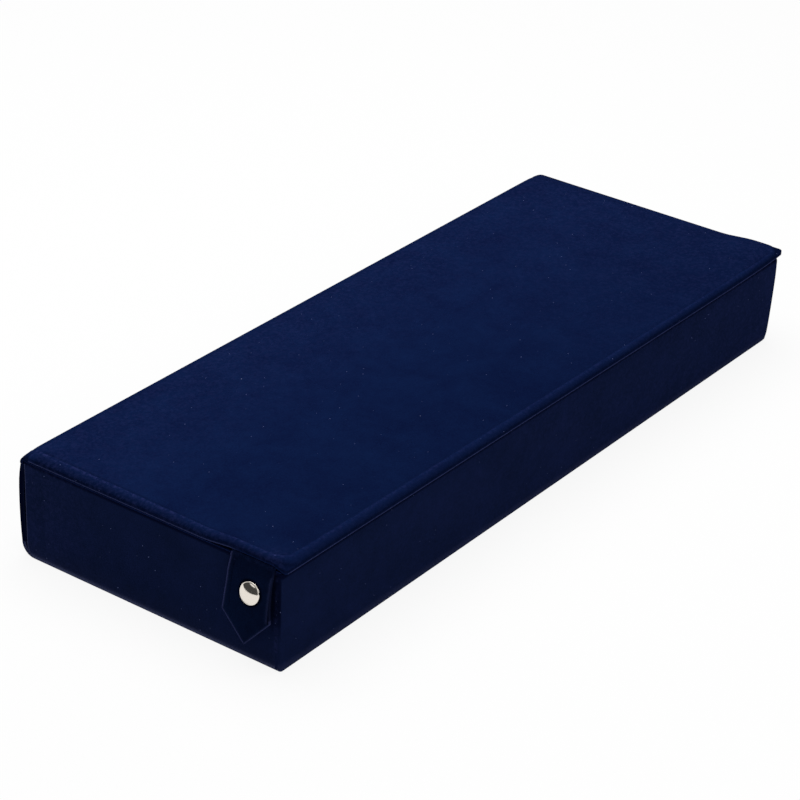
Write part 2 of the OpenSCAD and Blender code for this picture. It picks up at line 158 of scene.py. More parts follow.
def apply_modifier(piece: Piece, kind: str, **settings: object) -> None:
    """Add one modifier to a piece and apply it.

    Args:
        piece: the object to change.
        kind: type of the modifier.
        settings: its settings by name.
    """
    modifier = piece.modifiers.new(kind.title(), kind)
    for key, value in settings.items():
        setattr(modifier, key, value)
    activate(piece)
    bpy.ops.object.modifier_apply(modifier=modifier.name)


def lay_flat(name: str, half: float, front: float, rear: float, height: float) -> Piece:
    """Lay one level face.

    Args:
        name: name of the new piece.
        half: half of its length along X, in millimetres.
        front, rear: its ends along Y, in millimetres.
        height: its height in millimetres.

    Returns:
        The face as a piece.
    """
    deselect_all()
    bpy.ops.mesh.primitive_plane_add(size=1)
    cloth = bpy.context.object
    cloth.name = cloth.data.name = name
    for point in cloth.data.vertices:
        y = front if point.co.y < 0 else rear
        point.co = Vector((math.copysign(half, point.co.x), y, height)) * MM
    return cloth


def lay(name: str, columns: Sequence[float], rows: Sequence[float], form: Form) -> Piece:
    """Lay a flat cut of cloth over a form.

    Args:
        name: name of the new piece.
        columns: places of the lines of points across the cut.
        rows: places of the lines of points along the cut.
        form: gives the place in millimetres of a point of the cut.

    Returns:
        The cloth as a single sheet, with its face towards columns x rows.
    """
    deselect_all()
    bpy.ops.mesh.primitive_grid_add(x_subdivisions=len(columns) - 1, y_subdivisions=len(rows) - 1, size=1)
    cloth = bpy.context.object
    cloth.name = cloth.data.name = name
    for point in cloth.data.vertices:
        column = round((point.co.x + 0.5) * (len(columns) - 1))
        row = round((point.co.y + 0.5) * (len(rows) - 1))
        point.co = Vector(form(columns[column], rows[row])) * MM
    return cloth


def extrude(rise: float = 0) -> None:
    """Extrude what is selected in edit mode straight up, by a rise in millimetres."""
    bpy.ops.mesh.extrude_region_move(TRANSFORM_OT_translate={"value": (0, 0, rise * MM)})


def flip(piece: Piece) -> None:
    """Turn every face of a piece over."""
    with editing(piece, "FACE", whole=True):
        bpy.ops.mesh.flip_normals()


def flatten(piece: Piece, height: float) -> None:
    """Bring the selected points of a piece to one height in millimetres."""
    for point in piece.data.vertices:
        if point.select:
            point.co.z = height * MM


def volume(piece: Piece) -> float:
    """Volume of a closed mesh in cubic metres, below zero where its faces point inwards."""
    mesh = piece.data
    mesh.calc_loop_triangles()
    corners = [[mesh.vertices[k].co for k in face.vertices] for face in mesh.loop_triangles]
    return sum(a.dot(b.cross(c)) for a, b, c in corners) / 6


def close_up(piece: Piece, merge: float = 0.01) -> None:
    """Merge doubled points, turn the faces outwards and smooth the shading.

    Args:
        piece: the object to finish.
        merge: greatest distance between doubled points.
    """
    with editing(piece, whole=True):
        bpy.ops.mesh.remove_doubles(threshold=merge * MM)
        bpy.ops.mesh.dissolve_degenerate(threshold=merge * MM / 2)
        bpy.ops.mesh.normals_make_consistent(inside=False)
    if volume(piece) < 0:
        flip(piece)
    activate(piece)
    bpy.ops.object.shade_smooth_by_angle(angle=math.radians(45))


def round_edges(piece: Piece, radius: float, bend: float, merge: float = 0.01) -> None:
    """Round the sharp edges of a closed piece.

    Args:
        piece: the object to change.
        radius: radius of the rounding in millimetres.
        bend: least bend, in degrees, of an edge that is rounded.
        merge: greatest distance between doubled points.
    """
    apply_modifier(piece, "BEVEL", width=radius * MM, segments=3, limit_method="ANGLE",
                   angle_limit=math.radians(bend))
    close_up(piece, merge)


def turn_over(sheet: Piece, upwards: bool) -> None:
    """Give an open sheet one sense, with its largest level face upwards or downwards.

    Args:
        sheet: the sheet.
        upwards: whether that face has to point upwards.
    """
    with editing(sheet, "FACE", whole=True):
        bpy.ops.mesh.normals_make_consistent(inside=False)
    level = max(sheet.data.polygons, key=lambda face: face.area * abs(face.normal.z))
    if (level.normal.z > 0) != upwards:
        flip(sheet)


def mark(piece: Piece, name: str, share: Callable[[Vector], float]) -> None:
    """Note a share from 0 to 1 at each point of a piece, for its material to read.

    Args:
        piece: the object to mark; a point keeps what it has already if that is more.
        name: name of the attribute.
        share: gives the share of a place in millimetres.
    """
    mesh = piece.data
    attribute = mesh.attributes.get(name) or mesh.attributes.new(name, "FLOAT", "POINT")
    for point, noted in zip(mesh.vertices, attribute.data):
        noted.value = min(max(share(point.co / MM), noted.value), 1)


def mark_worn(piece: Piece, keep: Callable[[Vector], float], least: float = 8, full: float = 26) -> None:
    """Note how far each point lies on a convex edge, in the attribute that paints edges pale for worn pile
    and for painted sheen highlights.

    Args:
        piece: the object to mark.
        keep: how much an edge is worn and shows painted sheen at a place in millimetres, from 0 to 1.
        least: bend in degrees at which the edge starts to be painted pale.
        full: bend in degrees at which it is fully so.
    """
    mesh = piece.data
    faces: dict[tuple[int, int], list[bpy.types.MeshPolygon]] = {}
    for face in mesh.polygons:
        for key in face.edge_keys:
            faces.setdefault(key, []).append(face)
    worn = [0.0] * len(mesh.vertices)
    for key, pair in faces.items():
        if len(pair) != 2:
            continue
        first, second = pair
        if (second.center - first.center).dot(first.normal) > 0:
            continue
        bend = math.degrees(first.normal.angle(second.normal, 0))
        share = min(max((bend - least) / (full - least), 0), 1)
        for point in key:
            worn[point] = max(worn[point], share)
    attribute = mesh.attributes.get("worn") or mesh.attributes.new("worn", "FLOAT", "POINT")
    attribute.data.foreach_set("value", [w * keep(point.co / MM) for w, point in zip(worn, mesh.vertices)])


def inflate(piece: Piece, held: Callable[[Vector], float], pressure: float, most: float,
            frames: int = 20) -> None:
    """Let a closed pad swell under air pressure, held where it is sewn or pressed down.

    Args:
        piece: the pad.
        held: how firmly a place in millimetres is held, from 0 to 1.
        pressure: the air pressure.
        most: the furthest that a point may move, in millimetres.
        frames: how long it swells.
    """
    mesh = piece.data
    start = [point.co.copy() for point in mesh.vertices]
    group = piece.vertex_groups.new(name="held")
    for point in mesh.vertices:
        group.add([point.index], held(point.co / MM), "REPLACE")
    modifier = piece.modifiers.new("Cloth", "CLOTH")
    settings = modifier.settings
    settings.vertex_group_mass = group.name
    settings.use_pressure = True
    settings.uniform_pressure_force = pressure
    settings.effector_weights.gravity = 0
    for frame in range(1, frames + 1):
        bpy.context.scene.frame_set(frame)
    activate(piece)
    bpy.ops.object.modifier_apply(modifier=modifier.name)
    for point, before in zip(mesh.vertices, start):
        moved = point.co - before
        if moved.length > most * MM:
            point.co = before + moved.normalized() * most * MM
    piece.vertex_groups.clear()
    bpy.context.scene.frame_set(1)


def spread(start: float, end: float, step: float, hem: float = 0) -> list[float]:
    """Even stations from start to end, with one more close to each end where a hem is asked for.

    Args:
        start: the first station.
        end: the last station.
        step: greatest distance between stations.
        hem: distance of the extra stations from both ends, or 0 for none.

    Returns:
        The stations in order.
    """
    if hem:
        step_in = math.copysign(hem, end - start)
        return [start, *spread(start + step_in, end - step_in, step), end]
    count = max(1, math.ceil(abs(end - start) / step))
    return [start + (end - start) * k / count for k in range(count + 1)]


def stations(half: float, border: Sequence[float], step: float) -> list[float]:
    """Stations from -half to half, close together inside both borders.

    Args:
        half: half of the whole length.
        border: distances in from each end.
        step: greatest distance between the stations of the middle.

    Returns:
        The stations in rising order.
    """
    inner = spread(-half + border[-1], half - border[-1], step)
    return [-half + b for b in border[:-1]] + inner + [half - b for b in reversed(border[:-1])]


def ripple(x: float, y: float, z: float, size: float, height: float) -> float:
    """Soft unevenness of a hand-covered board.

    Args:
        x, y, z: the place in millimetres.
        size: distance between swellings in millimetres.
        height: greatest height of a swelling in millimetres.

    Returns:
        A height between -height and height.
    """
    return height * noise.noise(Vector((x, y, z)) / size)


def bell(distance: float, width: float) -> float:
    """A bell curve: 1 at no distance, and 0.37 at a distance of the width."""
    return math.exp(-(distance / width) ** 2)


def smooth_step(value: float) -> float:
    """Ease from 0 to 1."""
    value = min(max(value, 0), 1)
    return value * value * (3 - 2 * value)


# Materials

def linear(colour: str) -> tuple[float, float, float, float]:
    """Turn an sRGB hex colour to linear light.

    Args:
        colour: the colour as six hex digits.

    Returns:
        Red, green, blue and an opaque alpha.
    """
    shares = [int(colour[k:k + 2], 16) / 255 for k in (0, 2, 4)]
    red, green, blue = (s / 12.92 if s <= 0.04045 else ((s + 0.055) / 1.055) ** 2.4 for s in shares)
    return red, green, blue, 1.0


def add(tree: bpy.types.NodeTree, kind: str, inputs: Mapping[object, object] | None = None,
        **settings: object) -> bpy.types.Node:
    """Add a node to a tree.

    Args:
        tree: the node tree.
        kind: type of the node.
        inputs: for a socket's name or number, the socket that is linked to it or its value.
        settings: the node's own settings by name.

    Returns:
        The new node.
    """
    made = tree.nodes.new(kind)
    for key, value in settings.items():
        setattr(made, key, value)
    for socket, value in (inputs or {}).items():
        if isinstance(value, bpy.types.NodeSocket):
            tree.links.new(value, made.inputs[socket])
        else:
            made.inputs[socket].default_value = value
    return made


def grain(tree: bpy.types.NodeTree, place: bpy.types.NodeSocket, size_mm: float, detail: float,
          **more: float) -> bpy.types.NodeSocket:
    """Noise at a place.

    Args:
        tree: the node tree.
        place: the place on the piece.
        size_mm: size of its grains.
        detail: number of finer layers.
        more: other inputs of the noise by name.

    Returns:
        The socket of its value.
    """
    inputs = {"Vector": place, "Scale": 1 / (size_mm * MM), "Detail": detail, **more}
    return add(tree, "ShaderNodeTexNoise", inputs).outputs["Fac"]


def spanned(tree: bpy.types.NodeTree, value: bpy.types.NodeSocket, low: float, high: float,
            to_low: float = 0.0, to_high: float = 1.0) -> bpy.types.NodeSocket:
    """Map the span from low to high onto the one from to_low to to_high, and clamp it there."""
    inputs = {"Value": value, "From Min": low, "From Max": high, "To Min": to_low, "To Max": to_high}
    return add(tree, "ShaderNodeMapRange", inputs).outputs["Result"]


def reckon(tree: bpy.types.NodeTree, operation: str, *values: object) -> bpy.types.NodeSocket:
    """Work out one sum of sockets and numbers by the name of its operation."""
    return add(tree, "ShaderNodeMath", dict(enumerate(values)), operation=operation).outputs[0]


def noted(tree: bpy.types.NodeTree, name: str) -> bpy.types.NodeSocket:
    """What is noted under a name at the points of the mesh."""
    return add(tree, "ShaderNodeAttribute", attribute_name=name).outputs["Fac"]


def relief(tree: bpy.types.NodeTree, height: bpy.types.NodeSocket, strength: float,
           depth_mm: float) -> bpy.types.NodeSocket:
    """A bumpy normal from a height, a strength and the depth of the bumps."""
    return add(tree, "ShaderNodeBump", {
        "Height": height, "Strength": strength, "Distance": depth_mm * MM}).outputs["Normal"]


def mixed(tree: bpy.types.NodeTree, share: bpy.types.NodeSocket, first: object,
          second: str) -> bpy.types.NodeSocket:
    """Mix one colour over another.

    Args:
        tree: the node tree.
        share: the share of the second colour.
        first: a hex colour, or the socket of what lies below.
        second: the hex colour laid over it.

    Returns:
        The socket of the mixed colour.
    """
    below = linear(first) if isinstance(first, str) else first
    return add(tree, "ShaderNodeMix", {0: share, 6: below, 7: linear(second)}, data_type="RGBA").outputs[2]


def end_in(tree: bpy.types.NodeTree, inputs: Mapping[object, object]) -> None:
    """End a material in a principled shader with the given inputs."""
    shader = add(tree, "ShaderNodeBsdfPrincipled", inputs)
    add(tree, "ShaderNodeOutputMaterial", {"Surface": shader.outputs["BSDF"]})


def blank_material(name: str) -> tuple[bpy.types.Material, bpy.types.NodeTree]:
    """A material with an empty node tree.

    Args:
        name: name of the material.

    Returns:
        The material and its tree.
    """
    material = bpy.data.materials.new(name)
    material.use_nodes = True
    material.node_tree.nodes.clear()
    return material, material.node_tree


@dataclass(frozen=True)
class Velvet:
    """Flocked polyester velvet: a short upright pile on a cloth back, dull and deep in colour."""

    name: str
    # Colours of the pile where it stands up and where it is brushed over, and the pale colour of worn edges,
    # which also paints their sheen highlights
    deep: str
    brushed: str
    rubbed: str
    # Colour of the flecks where a fold ruffles the pile
    ruffled: str = "232953"
    # Colour of painted shade under the lid and straps, in gaps and creases and on sides turned from the
    # light; it also stands for pile pressed down and drawn tight
    pressed: str = "050d26"
    # Distance between brushed patches, and size of the tufts, drawn coarser than the real pile to show
    patch_mm: float = 30
    tuft_mm: float = 1.0
    sheen: float = 0.05
    # Share of the lint sites that hold a speck of lint
    lint: float = 0.4
    bump: float = 0.35

    def pile(self, tree: bpy.types.NodeTree, place: bpy.types.NodeSocket,
             tufts: bpy.types.NodeSocket) -> tuple[bpy.types.NodeSocket, bpy.types.NodeSocket]:
        """The colour of the standing and brushed pile.

        Args:
            tree: the node tree.
            place: the place on the piece.
            tufts: the grain of the tufts.

        Returns:
            The colour, and the height of the pile from 0 to 1.
        """
        patches = grain(tree, place, self.patch_mm, 4.0, Roughness=0.62, Distortion=0.4)
        streaks = grain(tree, place, self.patch_mm / 5, 3.0, Roughness=0.7)
        # Patches weigh most, streaks break their outlines and tufts make the grain
        broad = reckon(tree, "MULTIPLY", patches, 0.42)
        medium = reckon(tree, "MULTIPLY_ADD", streaks, 0.2, broad)
        level = reckon(tree, "MULTIPLY_ADD", tufts, 0.38, medium)
        return mixed(tree, spanned(tree, level, 0.36, 0.64), self.deep, self.brushed), level

    def flecks(self, tree: bpy.types.NodeTree, place: bpy.types.NodeSocket, sites_mm: float, reach: float,
               most: bpy.types.NodeSocket | float) -> bpy.types.NodeSocket:
        """Scattered specks, each of its own strength.

        Args:
            tree: the node tree.
            place: the place on the piece.
            sites_mm: distance between the places where a speck may lie.
            reach: radius of a speck as a share of that distance.
            most: share of the places that hold one.

        Returns:
            The socket of their strength, from 0 to 1.
        """
        sites = add(tree, "ShaderNodeTexVoronoi", {"Vector": place, "Scale": 1 / (sites_mm * MM)})
        near = spanned(tree, sites.outputs["Distance"], reach, reach * 0.4)
        drawn = add(tree, "ShaderNodeSeparateColor", {"Color": sites.outputs["Color"]})
        kept = reckon(tree, "LESS_THAN", drawn.outputs[0], most)
        speck = reckon(tree, "MULTIPLY", near, kept)
        return reckon(tree, "MULTIPLY", speck, drawn.outputs[1])

    def make(self) -> bpy.types.Material:
        """Make the material."""
        material, tree = blank_material(self.name)
        place = add(tree, "ShaderNodeTexCoord").outputs["Object"]
        tufts = grain(tree, place, self.tuft_mm, 2.0, Roughness=0.6)
        colour, level = self.pile(tree, place, tufts)
        # Painted shade: the pile is darkened where it is marked for shadow under the lid and straps, in gaps
        # and creases and on sides turned from the light
        colour = mixed(tree, noted(tree, "pressed"), colour, self.pressed)
        # Folds ruffle the pile in flecks about 2 mm wide
        clumps = spanned(tree, grain(tree, place, 2.2, 3.0, Roughness=0.7), 0.44, 0.68)
        folded = noted(tree, "ruffled")
        colour = mixed(tree, reckon(tree, "MULTIPLY", folded, clumps), colour, self.ruffled)
        # Worn edges turn pale; the same mark paints sheen highlights along edges and low hems
        rubbed = reckon(tree, "MULTIPLY", noted(tree, "worn"), spanned(tree, tufts, 0.3, 0.6, 0.5))
        colour = mixed(tree, rubbed, colour, self.rubbed)
        # Lint is about 0.4 mm across, the size that shows in the render; folds catch more of it
        caught = reckon(tree, "MULTIPLY_ADD", folded, 0.5, self.lint)
        for sites_mm, reach, pale in ((4.4, 0.062, "7480b4"), (19, 0.02, "8f99bf")):
            colour = mixed(tree, self.flecks(tree, place, sites_mm, reach, caught), colour, pale)
        end_in(tree, {
            "Base Color": colour, "Roughness": 1.0, "Specular IOR Level": 0.0, "Sheen Weight": self.sheen,
            "Sheen Roughness": 0.35, "Sheen Tint": linear("3f4ea0"),
            "Normal": relief(tree, level, self.bump, 0.4)})
        return material


@dataclass(frozen=True)
class Greyboard:
    """Recycled grey board: matt, with pale and dark fibres pressed flat."""

    name: str = "grey board, pressed"
    base: str = "a39a8a"
    fibre: str = "7d7464"

    def make(self) -> bpy.types.Material:
        """Make the material."""
        material, tree = blank_material(self.name)
        place = add(tree, "ShaderNodeTexCoord").outputs["Object"]
        # Fibres are about 1.5 mm long
        fibres = grain(tree, place, 1.5, 5.0, Roughness=0.75)
        colour = mixed(tree, spanned(tree, fibres, 0.4, 0.66), self.base, self.fibre)
        end_in(tree, {"Base Color": colour, "Roughness": 0.9, "Normal": relief(tree, fibres, 0.3, 0.1)})
        return material


@dataclass(frozen=True)
class Nickel:
    """Polished nickel plate on brass: warm grey and mirror-like, with fine rubbing marks."""

    name: str = "nickel plate, polished"
    base: str = "e6dfd5"

    def make(self) -> bpy.types.Material:
        """Make the material."""
        material, tree = blank_material(self.name)
        place = add(tree, "ShaderNodeTexCoord").outputs["Object"]
        # Smears are about 3 mm wide and rubbing marks 0.2 mm
        rough = spanned(tree, grain(tree, place, 3, 3.0), 0.3, 0.7, 0.06, 0.13)
        marks = grain(tree, place, 0.2, 2.0)
        end_in(tree, {"Base Color": linear(self.base), "Metallic": 1.0, "Roughness": rough,
                      "Normal": relief(tree, marks, 0.04, 0.02)})
        return material


@dataclass(frozen=True)
class Finish:
    """A material and the name of the record's material slot that it is meant for."""

    material: bpy.types.Material
    slot: str


class Finishes:
    """The materials of the case, each made once."""

    def __init__(self) -> None:
        """Make every material."""
        cover = Velvet("velvet, flocked, of the cover", "091232", "0d1c40", "3b4168")
        wall = Velvet("velvet, flocked, of the walls", "0c142c", "111a3a", "5c6288", pressed="03061a")
        lining = Velvet("velvet, thin, of the lining", "0a1330", "0f1b42", "2c3866", tuft_mm=0.9, lint=0.12)
        strap = Velvet("velvet, pressed, of the straps", "050a1d", "08132c", "3a3f6a", pressed="010209",
                       tuft_mm=0.7, lint=0.3, bump=0.2)
        self.cover = Finish(cover.make(), "outer_velvet")
        self.wall = Finish(wall.make(), "outer_velvet")
        self.lining = Finish(lining.make(), "lining_velvet")
        self.strap = Finish(strap.make(), "strap_velvet")
        self.board = Finish(Greyboard().make(), "greyboard")
        self.nickel = Finish(Nickel().make(), "nickel")


@dataclass
class Workshop:
    """Hands each finished piece its material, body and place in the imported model."""

    finishes: Finishes

    def hand_over(self, piece: Piece, finish: Finish, body: str, *replaces: str) -> None:
        """Dress a piece and fix it to its body.

        Args:
            piece: the finished mesh.
            finish: what it is finished in.
            body: the body it rides on, or nothing for a piece that rides on none.
            replaces: the nodes it stands for.
        """
        piece.data.materials.clear()
        piece.data.materials.append(finish.material)
        if body:
            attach(piece, body)
        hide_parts(*replaces)
        LOG.info("%s: %d faces", piece.name, len(piece.data.polygons))

    def cloth(self, piece: Piece, thickness: float, edge: float = 0.25,
              keep: Callable[[Vector], float] | None = None, even: bool = False) -> None:
        """Give a laid sheet its thickness and round its cut edges.

        Args:
            piece: the laid sheet, with its face outwards.
            thickness: thickness behind that face.
            edge: radius of the rounded edges.
            keep: how much an edge is worn and shows painted sheen at a place, or nothing where none does.
            even: whether sharp bends keep the thickness too, for a sheet of few large faces.
        """
        apply_modifier(piece, "SOLIDIFY", thickness=thickness * MM, offset=-1, use_even_offset=even)
        close_up(piece)
        round_edges(piece, edge, 40, 0.025)
        if keep:
            mark_worn(piece, keep)


@dataclass
class Sizes:
    """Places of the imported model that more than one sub-assembly uses, in millimetres."""

    end_x: float
    lip_y: float
    front_y: float
    rear_y: float
    spine_y: float
    base_z: float
    wall_z: float
    rim_z: float
    lid_z: float
    field_z: float
    floor_z: float
    pad_z: float
    upper_y: float
    upper_z: float
    lower_y: float
    lower_z: float
    room_x: float
    room_y0: float
    room_y1: float
    heel_r: float = 6.0
    corner_r: float = 1.6
    # How far the front leans out at the far end, and up to which height it does so
    flare: float = 3.2
    flare_z: float = 46
    velvet_t: float = 0.7
    lining_t: float = 0.6

    def leaning(self, x: float, height: float) -> float:
        """How far the front leans out at a place; it turns back in at the rim, under the lid."""
        up = min(max(height / self.flare_z, 0), 1) ** 0.6
        rolled = min(max((height - self.wall_z + 3) / 3, 0), 1)
        return self.flare * max(0.5 + x / (2 * self.end_x), 0) * up * math.sqrt(1 - rolled ** 2)

    @classmethod
    def measured(cls) -> "Sizes":
        """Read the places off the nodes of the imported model."""
        def low(node: str, axis: int) -> float:
            """Lowest place of a node on an axis."""
            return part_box(node)[0][axis] / MM

        def high(node: str, axis: int) -> float:
            """Highest place of a node on an axis."""
            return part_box(node)[1][axis] / MM

        return cls(
            end_x=high("base_velvet", 0), lip_y=low("lid_velvet", 1), front_y=low("front_velvet", 1),
            rear_y=high("near_end_velvet", 1), spine_y=high("lower_fold_cloth", 1),
            base_z=high("base_velvet", 2), wall_z=high("near_end_velvet", 2), rim_z=high("wall_lining", 2),
            lid_z=low("lid_velvet", 2), field_z=high("upper_fold_cloth", 2),
            floor_z=low("floor_pad", 2), pad_z=high("floor_pad", 2),
            upper_y=high("lid_velvet", 1), upper_z=high("spine_velvet", 2), lower_y=high("base_velvet", 1),
            lower_z=low("spine_velvet", 2), room_x=high("floor_pad", 0) - cls.lining_t,
            room_y0=low("divider_velvet_1", 1) - 0.1, room_y1=high("divider_velvet_1", 1) + 0.1)


def rounded(corners: Sequence[tuple[float, float]], radius: float, step: float,
            hem: float = 0.8) -> list[tuple[float, float]]:
    """A line through corners that are rounded to a radius.

    Args:
        corners: the corners, with both ends.
        radius: radius of every inner corner.
        step: greatest distance between points on the straights.
        hem: distance of the extra points beside each end and each rounded corner.

    Returns:
        The points of the line.
    """
    line = [Vector(corners[0])]

    def straight(end: Vector) -> None:
        """Run straight on to a point."""
        start = line[-1]
        length = (end - start).length
        if length > 0.001:
            places = spread(0, length, step, hem if length > 3 * hem else 0)
            line.extend(start.lerp(end, place / length) for place in places[1:])

    for before, corner, after in zip(corners, corners[1:], corners[2:]):
        middle = Vector(corner)
        back, on = (Vector(before) - middle).normalized(), (Vector(after) - middle).normalized()
        half = back.angle(on) / 2
        centre = middle + (back + on).normalized() * radius / math.sin(half)
        start, end = middle + back * radius / math.tan(half), middle + on * radius / math.tan(half)
        straight(start)
        count = max(3, math.ceil((math.pi - 2 * half) * radius / 0.5))
        line.extend(centre + (start - centre).slerp(end - centre, k / count).normalized() * radius
                    for k in range(1, count + 1))
    straight(Vector(corners[-1]))
    return [tuple(point) for point in line]


@dataclass
class TrayCover:
    """Velvet on the outside of the tray: front, both ends, rear and base."""

    sizes: Sizes
    seam_inset: float = 4.0
    seam_gap: float = 0.06
    # What the flat front cut has more than the length of the tray, for both wrapped ends
    wrapped: float = 5
    swell: float = 0.16
    swell_size: float = 34
    # The wall cuts reach down over the turned-up base cut, which lies a little further in
    low_z: float = 0.9
    base_turn: float = 1.5
    base_inset: float = 0.15
    # The far corner is worn round at its foot
    foot: float = 1.5
    foot_z: float = 6
    # Distances below the rim of the rows where the wall cuts are pressed in
    rim_rows: tuple[float, ...] = (2.2, 1.5, 0.9, 0.4, 0.12, 0)
    heel_rows: tuple[float, ...] = (0, 0.3, 0.7, 1.3, 2.1, 3.1, 4.3, 5.7)

    def build(self, shop: Workshop) -> None:
        """Build every piece of it."""
        self.front(shop)
        for side in Side:
            self.end(shop, side)
        self.rear(shop)
        self.base(shop)

    def rows_up(self, start: float, step: float) -> list[float]:
        """Rows from a start up to the rim, with a greatest distance between them."""
        rim = self.sizes.wall_z
        return spread(start, rim - 3, step, 0.7) + [rim - down for down in self.rim_rows]

    def drawn_in(self, x: float, height: float) -> float:
        """How far the foot of the far front corner is drawn in at a place."""
        share = max(0, 1 - height / self.foot_z) ** 2
        return self.foot * share * smooth_step((x - self.sizes.end_x + 9) / 9)

    def front(self, shop: Workshop) -> None:
        """The long front cut, wrapped round both front corners to its seams."""
        z = self.sizes
        seam = z.front_y + self.seam_inset - self.seam_gap / 2
        plan = rounded([(-z.end_x, seam), (-z.end_x, z.front_y), (z.end_x, z.front_y), (z.end_x, seam)],
                       z.corner_r, 5)

        def form(column: float, row: float) -> tuple[float, float, float]:
            """A point of the cut on the boards."""
            x, y = plan[int(column)]
            y -= ripple(x, 0, row, self.swell_size, self.swell) * smooth_step((z.end_x - abs(x)) / 20)
            return x - self.drawn_in(x, row), y - z.leaning(x, row), row

        cloth = lay("tray_front_cover", range(len(plan)), self.rows_up(self.low_z, 4), form)
        shop.cloth(cloth, z.velvet_t, 0.2)
        # Along the front face the low edge is painted pale for worn pile and sheen
        mark(cloth, "worn", lambda m: self.low_line(m.z) * (0.3 if m.y < seam - 1 else 0))
        mark(cloth, "ruffled", lambda m: 0.5 * smooth_step((m.y - seam + 1.2) / 1.2)
             if abs(m.x) > z.end_x - 2 else 0.25 * (0.5 + m.x / (2 * z.end_x)))
        # Painted shadow under the lid's lip, and on the wrapped corner the strap's painted shadow
        mark(cloth, "pressed", lambda m: 0.85 * smooth_step((m.z - z.wall_z + 4) / 1.6))
        mark(cloth, "pressed", lambda m: self.beside(m) if m.y > z.front_y + 0.6 else 0)
        shop.hand_over(cloth, shop.finishes.wall, "tray", "front_velvet")

    def end(self, shop: Workshop, side: Side) -> None:
        """An end cut, from its seam near the front to the rounded heel at the rear."""
        z = self.sizes
        seam = z.front_y + self.seam_inset + self.seam_gap / 2
        # The heel turns into the low edge that laps over the base cut
        heel_z = z.base_z + z.heel_r
        shares = [-0.5, -0.496, -0.49] + spread(-0.47, 0.47, 0.03) + [0.49, 0.496, 0.5]
        if side is Side.NEAR:
            shares = [-s for s in shares]

        def form(column: float, row: float) -> tuple[float, float, float]:
            """A point of the cut on the end board."""
            low = max(0, heel_z - row) * z.heel_r / (heel_z - self.low_z)
            reach = z.rear_y - z.heel_r + math.sqrt(max(z.heel_r ** 2 - low ** 2, 0.01))
            start = seam - z.leaning(side.value * z.end_x, row)
            y = start + (column + 0.5) * (reach - start)
            inner = smooth_step((y - seam) / 8) * smooth_step((row - z.base_z) / 10)
            swell = ripple(side.value * 90, y, row, self.swell_size, self.swell) * inner
            x = side.value * (z.end_x + swell)
            return x - self.drawn_in(x, row) * smooth_step((seam + 9 - y) / 9), y, row

        rows = [self.low_z + up for up in self.heel_rows] + self.rows_up(heel_z, 5)
        cloth = lay(f"tray_{side.word}_end_cover", shares, rows, form)
        # Convex edges below the rim are painted pale for worn pile and sheen highlights
        shop.cloth(cloth, z.velvet_t, 0.35, lambda m: 0.9 if m.z < z.wall_z - 1 and m.y > seam + 1 else 0)
        mark(cloth, "worn", lambda m: self.low_line(m.z))
        mark(cloth, "ruffled", lambda m: 0.5 * smooth_step((seam + 1.2 - m.y) / 1.2))
        mark(cloth, "ruffled", lambda m: 0.25 * smooth_step((m.y - 10) / 70))
        # Painted shadow under the lid's lip, and near the front the strap's painted shadow
        mark(cloth, "pressed", lambda m: 0.85 * smooth_step((m.z - z.wall_z + 2.2) / 1.4))
        mark(cloth, "pressed", self.beside)
        shop.hand_over(cloth, shop.finishes.wall, "tray", f"{side.word}_end_velvet")

    def low_line(self, height: float) -> float:
        """How pale the low edge of a wall cut is painted at a height: worn pile with a painted sheen line at
        the edge, and a faint painted lightening over the lowest centimetre.
        """
        up = height - self.low_z
        return 0.5 * bell(up, 1.4) + 0.025 * bell(up, 9)

    @staticmethod
    def beside(place: Vector) -> float:
        """How much painted shadow the strap casts on an end beside it, at the front corner."""
        return 0.7 * smooth_step((-80 - place.y) / 5) * smooth_step((place.z - 16) / 16)

    def rear(self, shop: Workshop) -> None:
        """The rear cut, over the rounded heel and up the rear wall."""
        z = self.sizes
        half = z.end_x - z.velvet_t
        section = rounded([(z.rear_y - z.heel_r, z.base_z), (z.rear_y, z.base_z), (z.rear_y, z.wall_z)],
                          z.heel_r - 0.01, 6)

        def form(column: float, row: float) -> tuple[float, float, float]:
            """A point of the cut on the rear wall."""
            y, height = section[int(row)]
            return column, y, height

        cloth = lay("tray_rear_cover", [-x for x in spread(-half, half, 10)], range(len(section)), form)
        shop.cloth(cloth, z.velvet_t)
        shop.hand_over(cloth, shop.finishes.wall, "tray", "rear_velvet")

    def base(self, shop: Workshop) -> None:
        """The base cut, under the base board and up its front and ends."""
        z = self.sizes
        inset = self.base_inset
        cloth = lay_flat("base_cover", z.end_x - inset, z.front_y + inset, z.lower_y, 0)
        choose(cloth, "VERT", lambda m: m.y < 0)
        with editing(cloth):
            bpy.ops.mesh.bevel(offset=z.corner_r * MM, segments=8, affect="VERTICES")
        choose(cloth, "EDGE", lambda m: m.y < z.lower_y - 1)
        with editing(cloth, "EDGE"):
            extrude(self.base_turn)
        for point in cloth.data.vertices:
            if point.co.y < 0:
                point.co.x -= self.drawn_in(point.co.x / MM, 0) * MM
        turn_over(cloth, False)
        shop.cloth(cloth, z.velvet_t, 0.3, even=True)
        # The base cut is painted pale a little all over and more at both ends, for worn pile and sheen
        mark(cloth, "worn", lambda m: 0.5 if abs(m.x) > z.end_x - 1.2 else 0.15)
        shop.hand_over(cloth, shop.finishes.wall, "tray", "base_velvet")


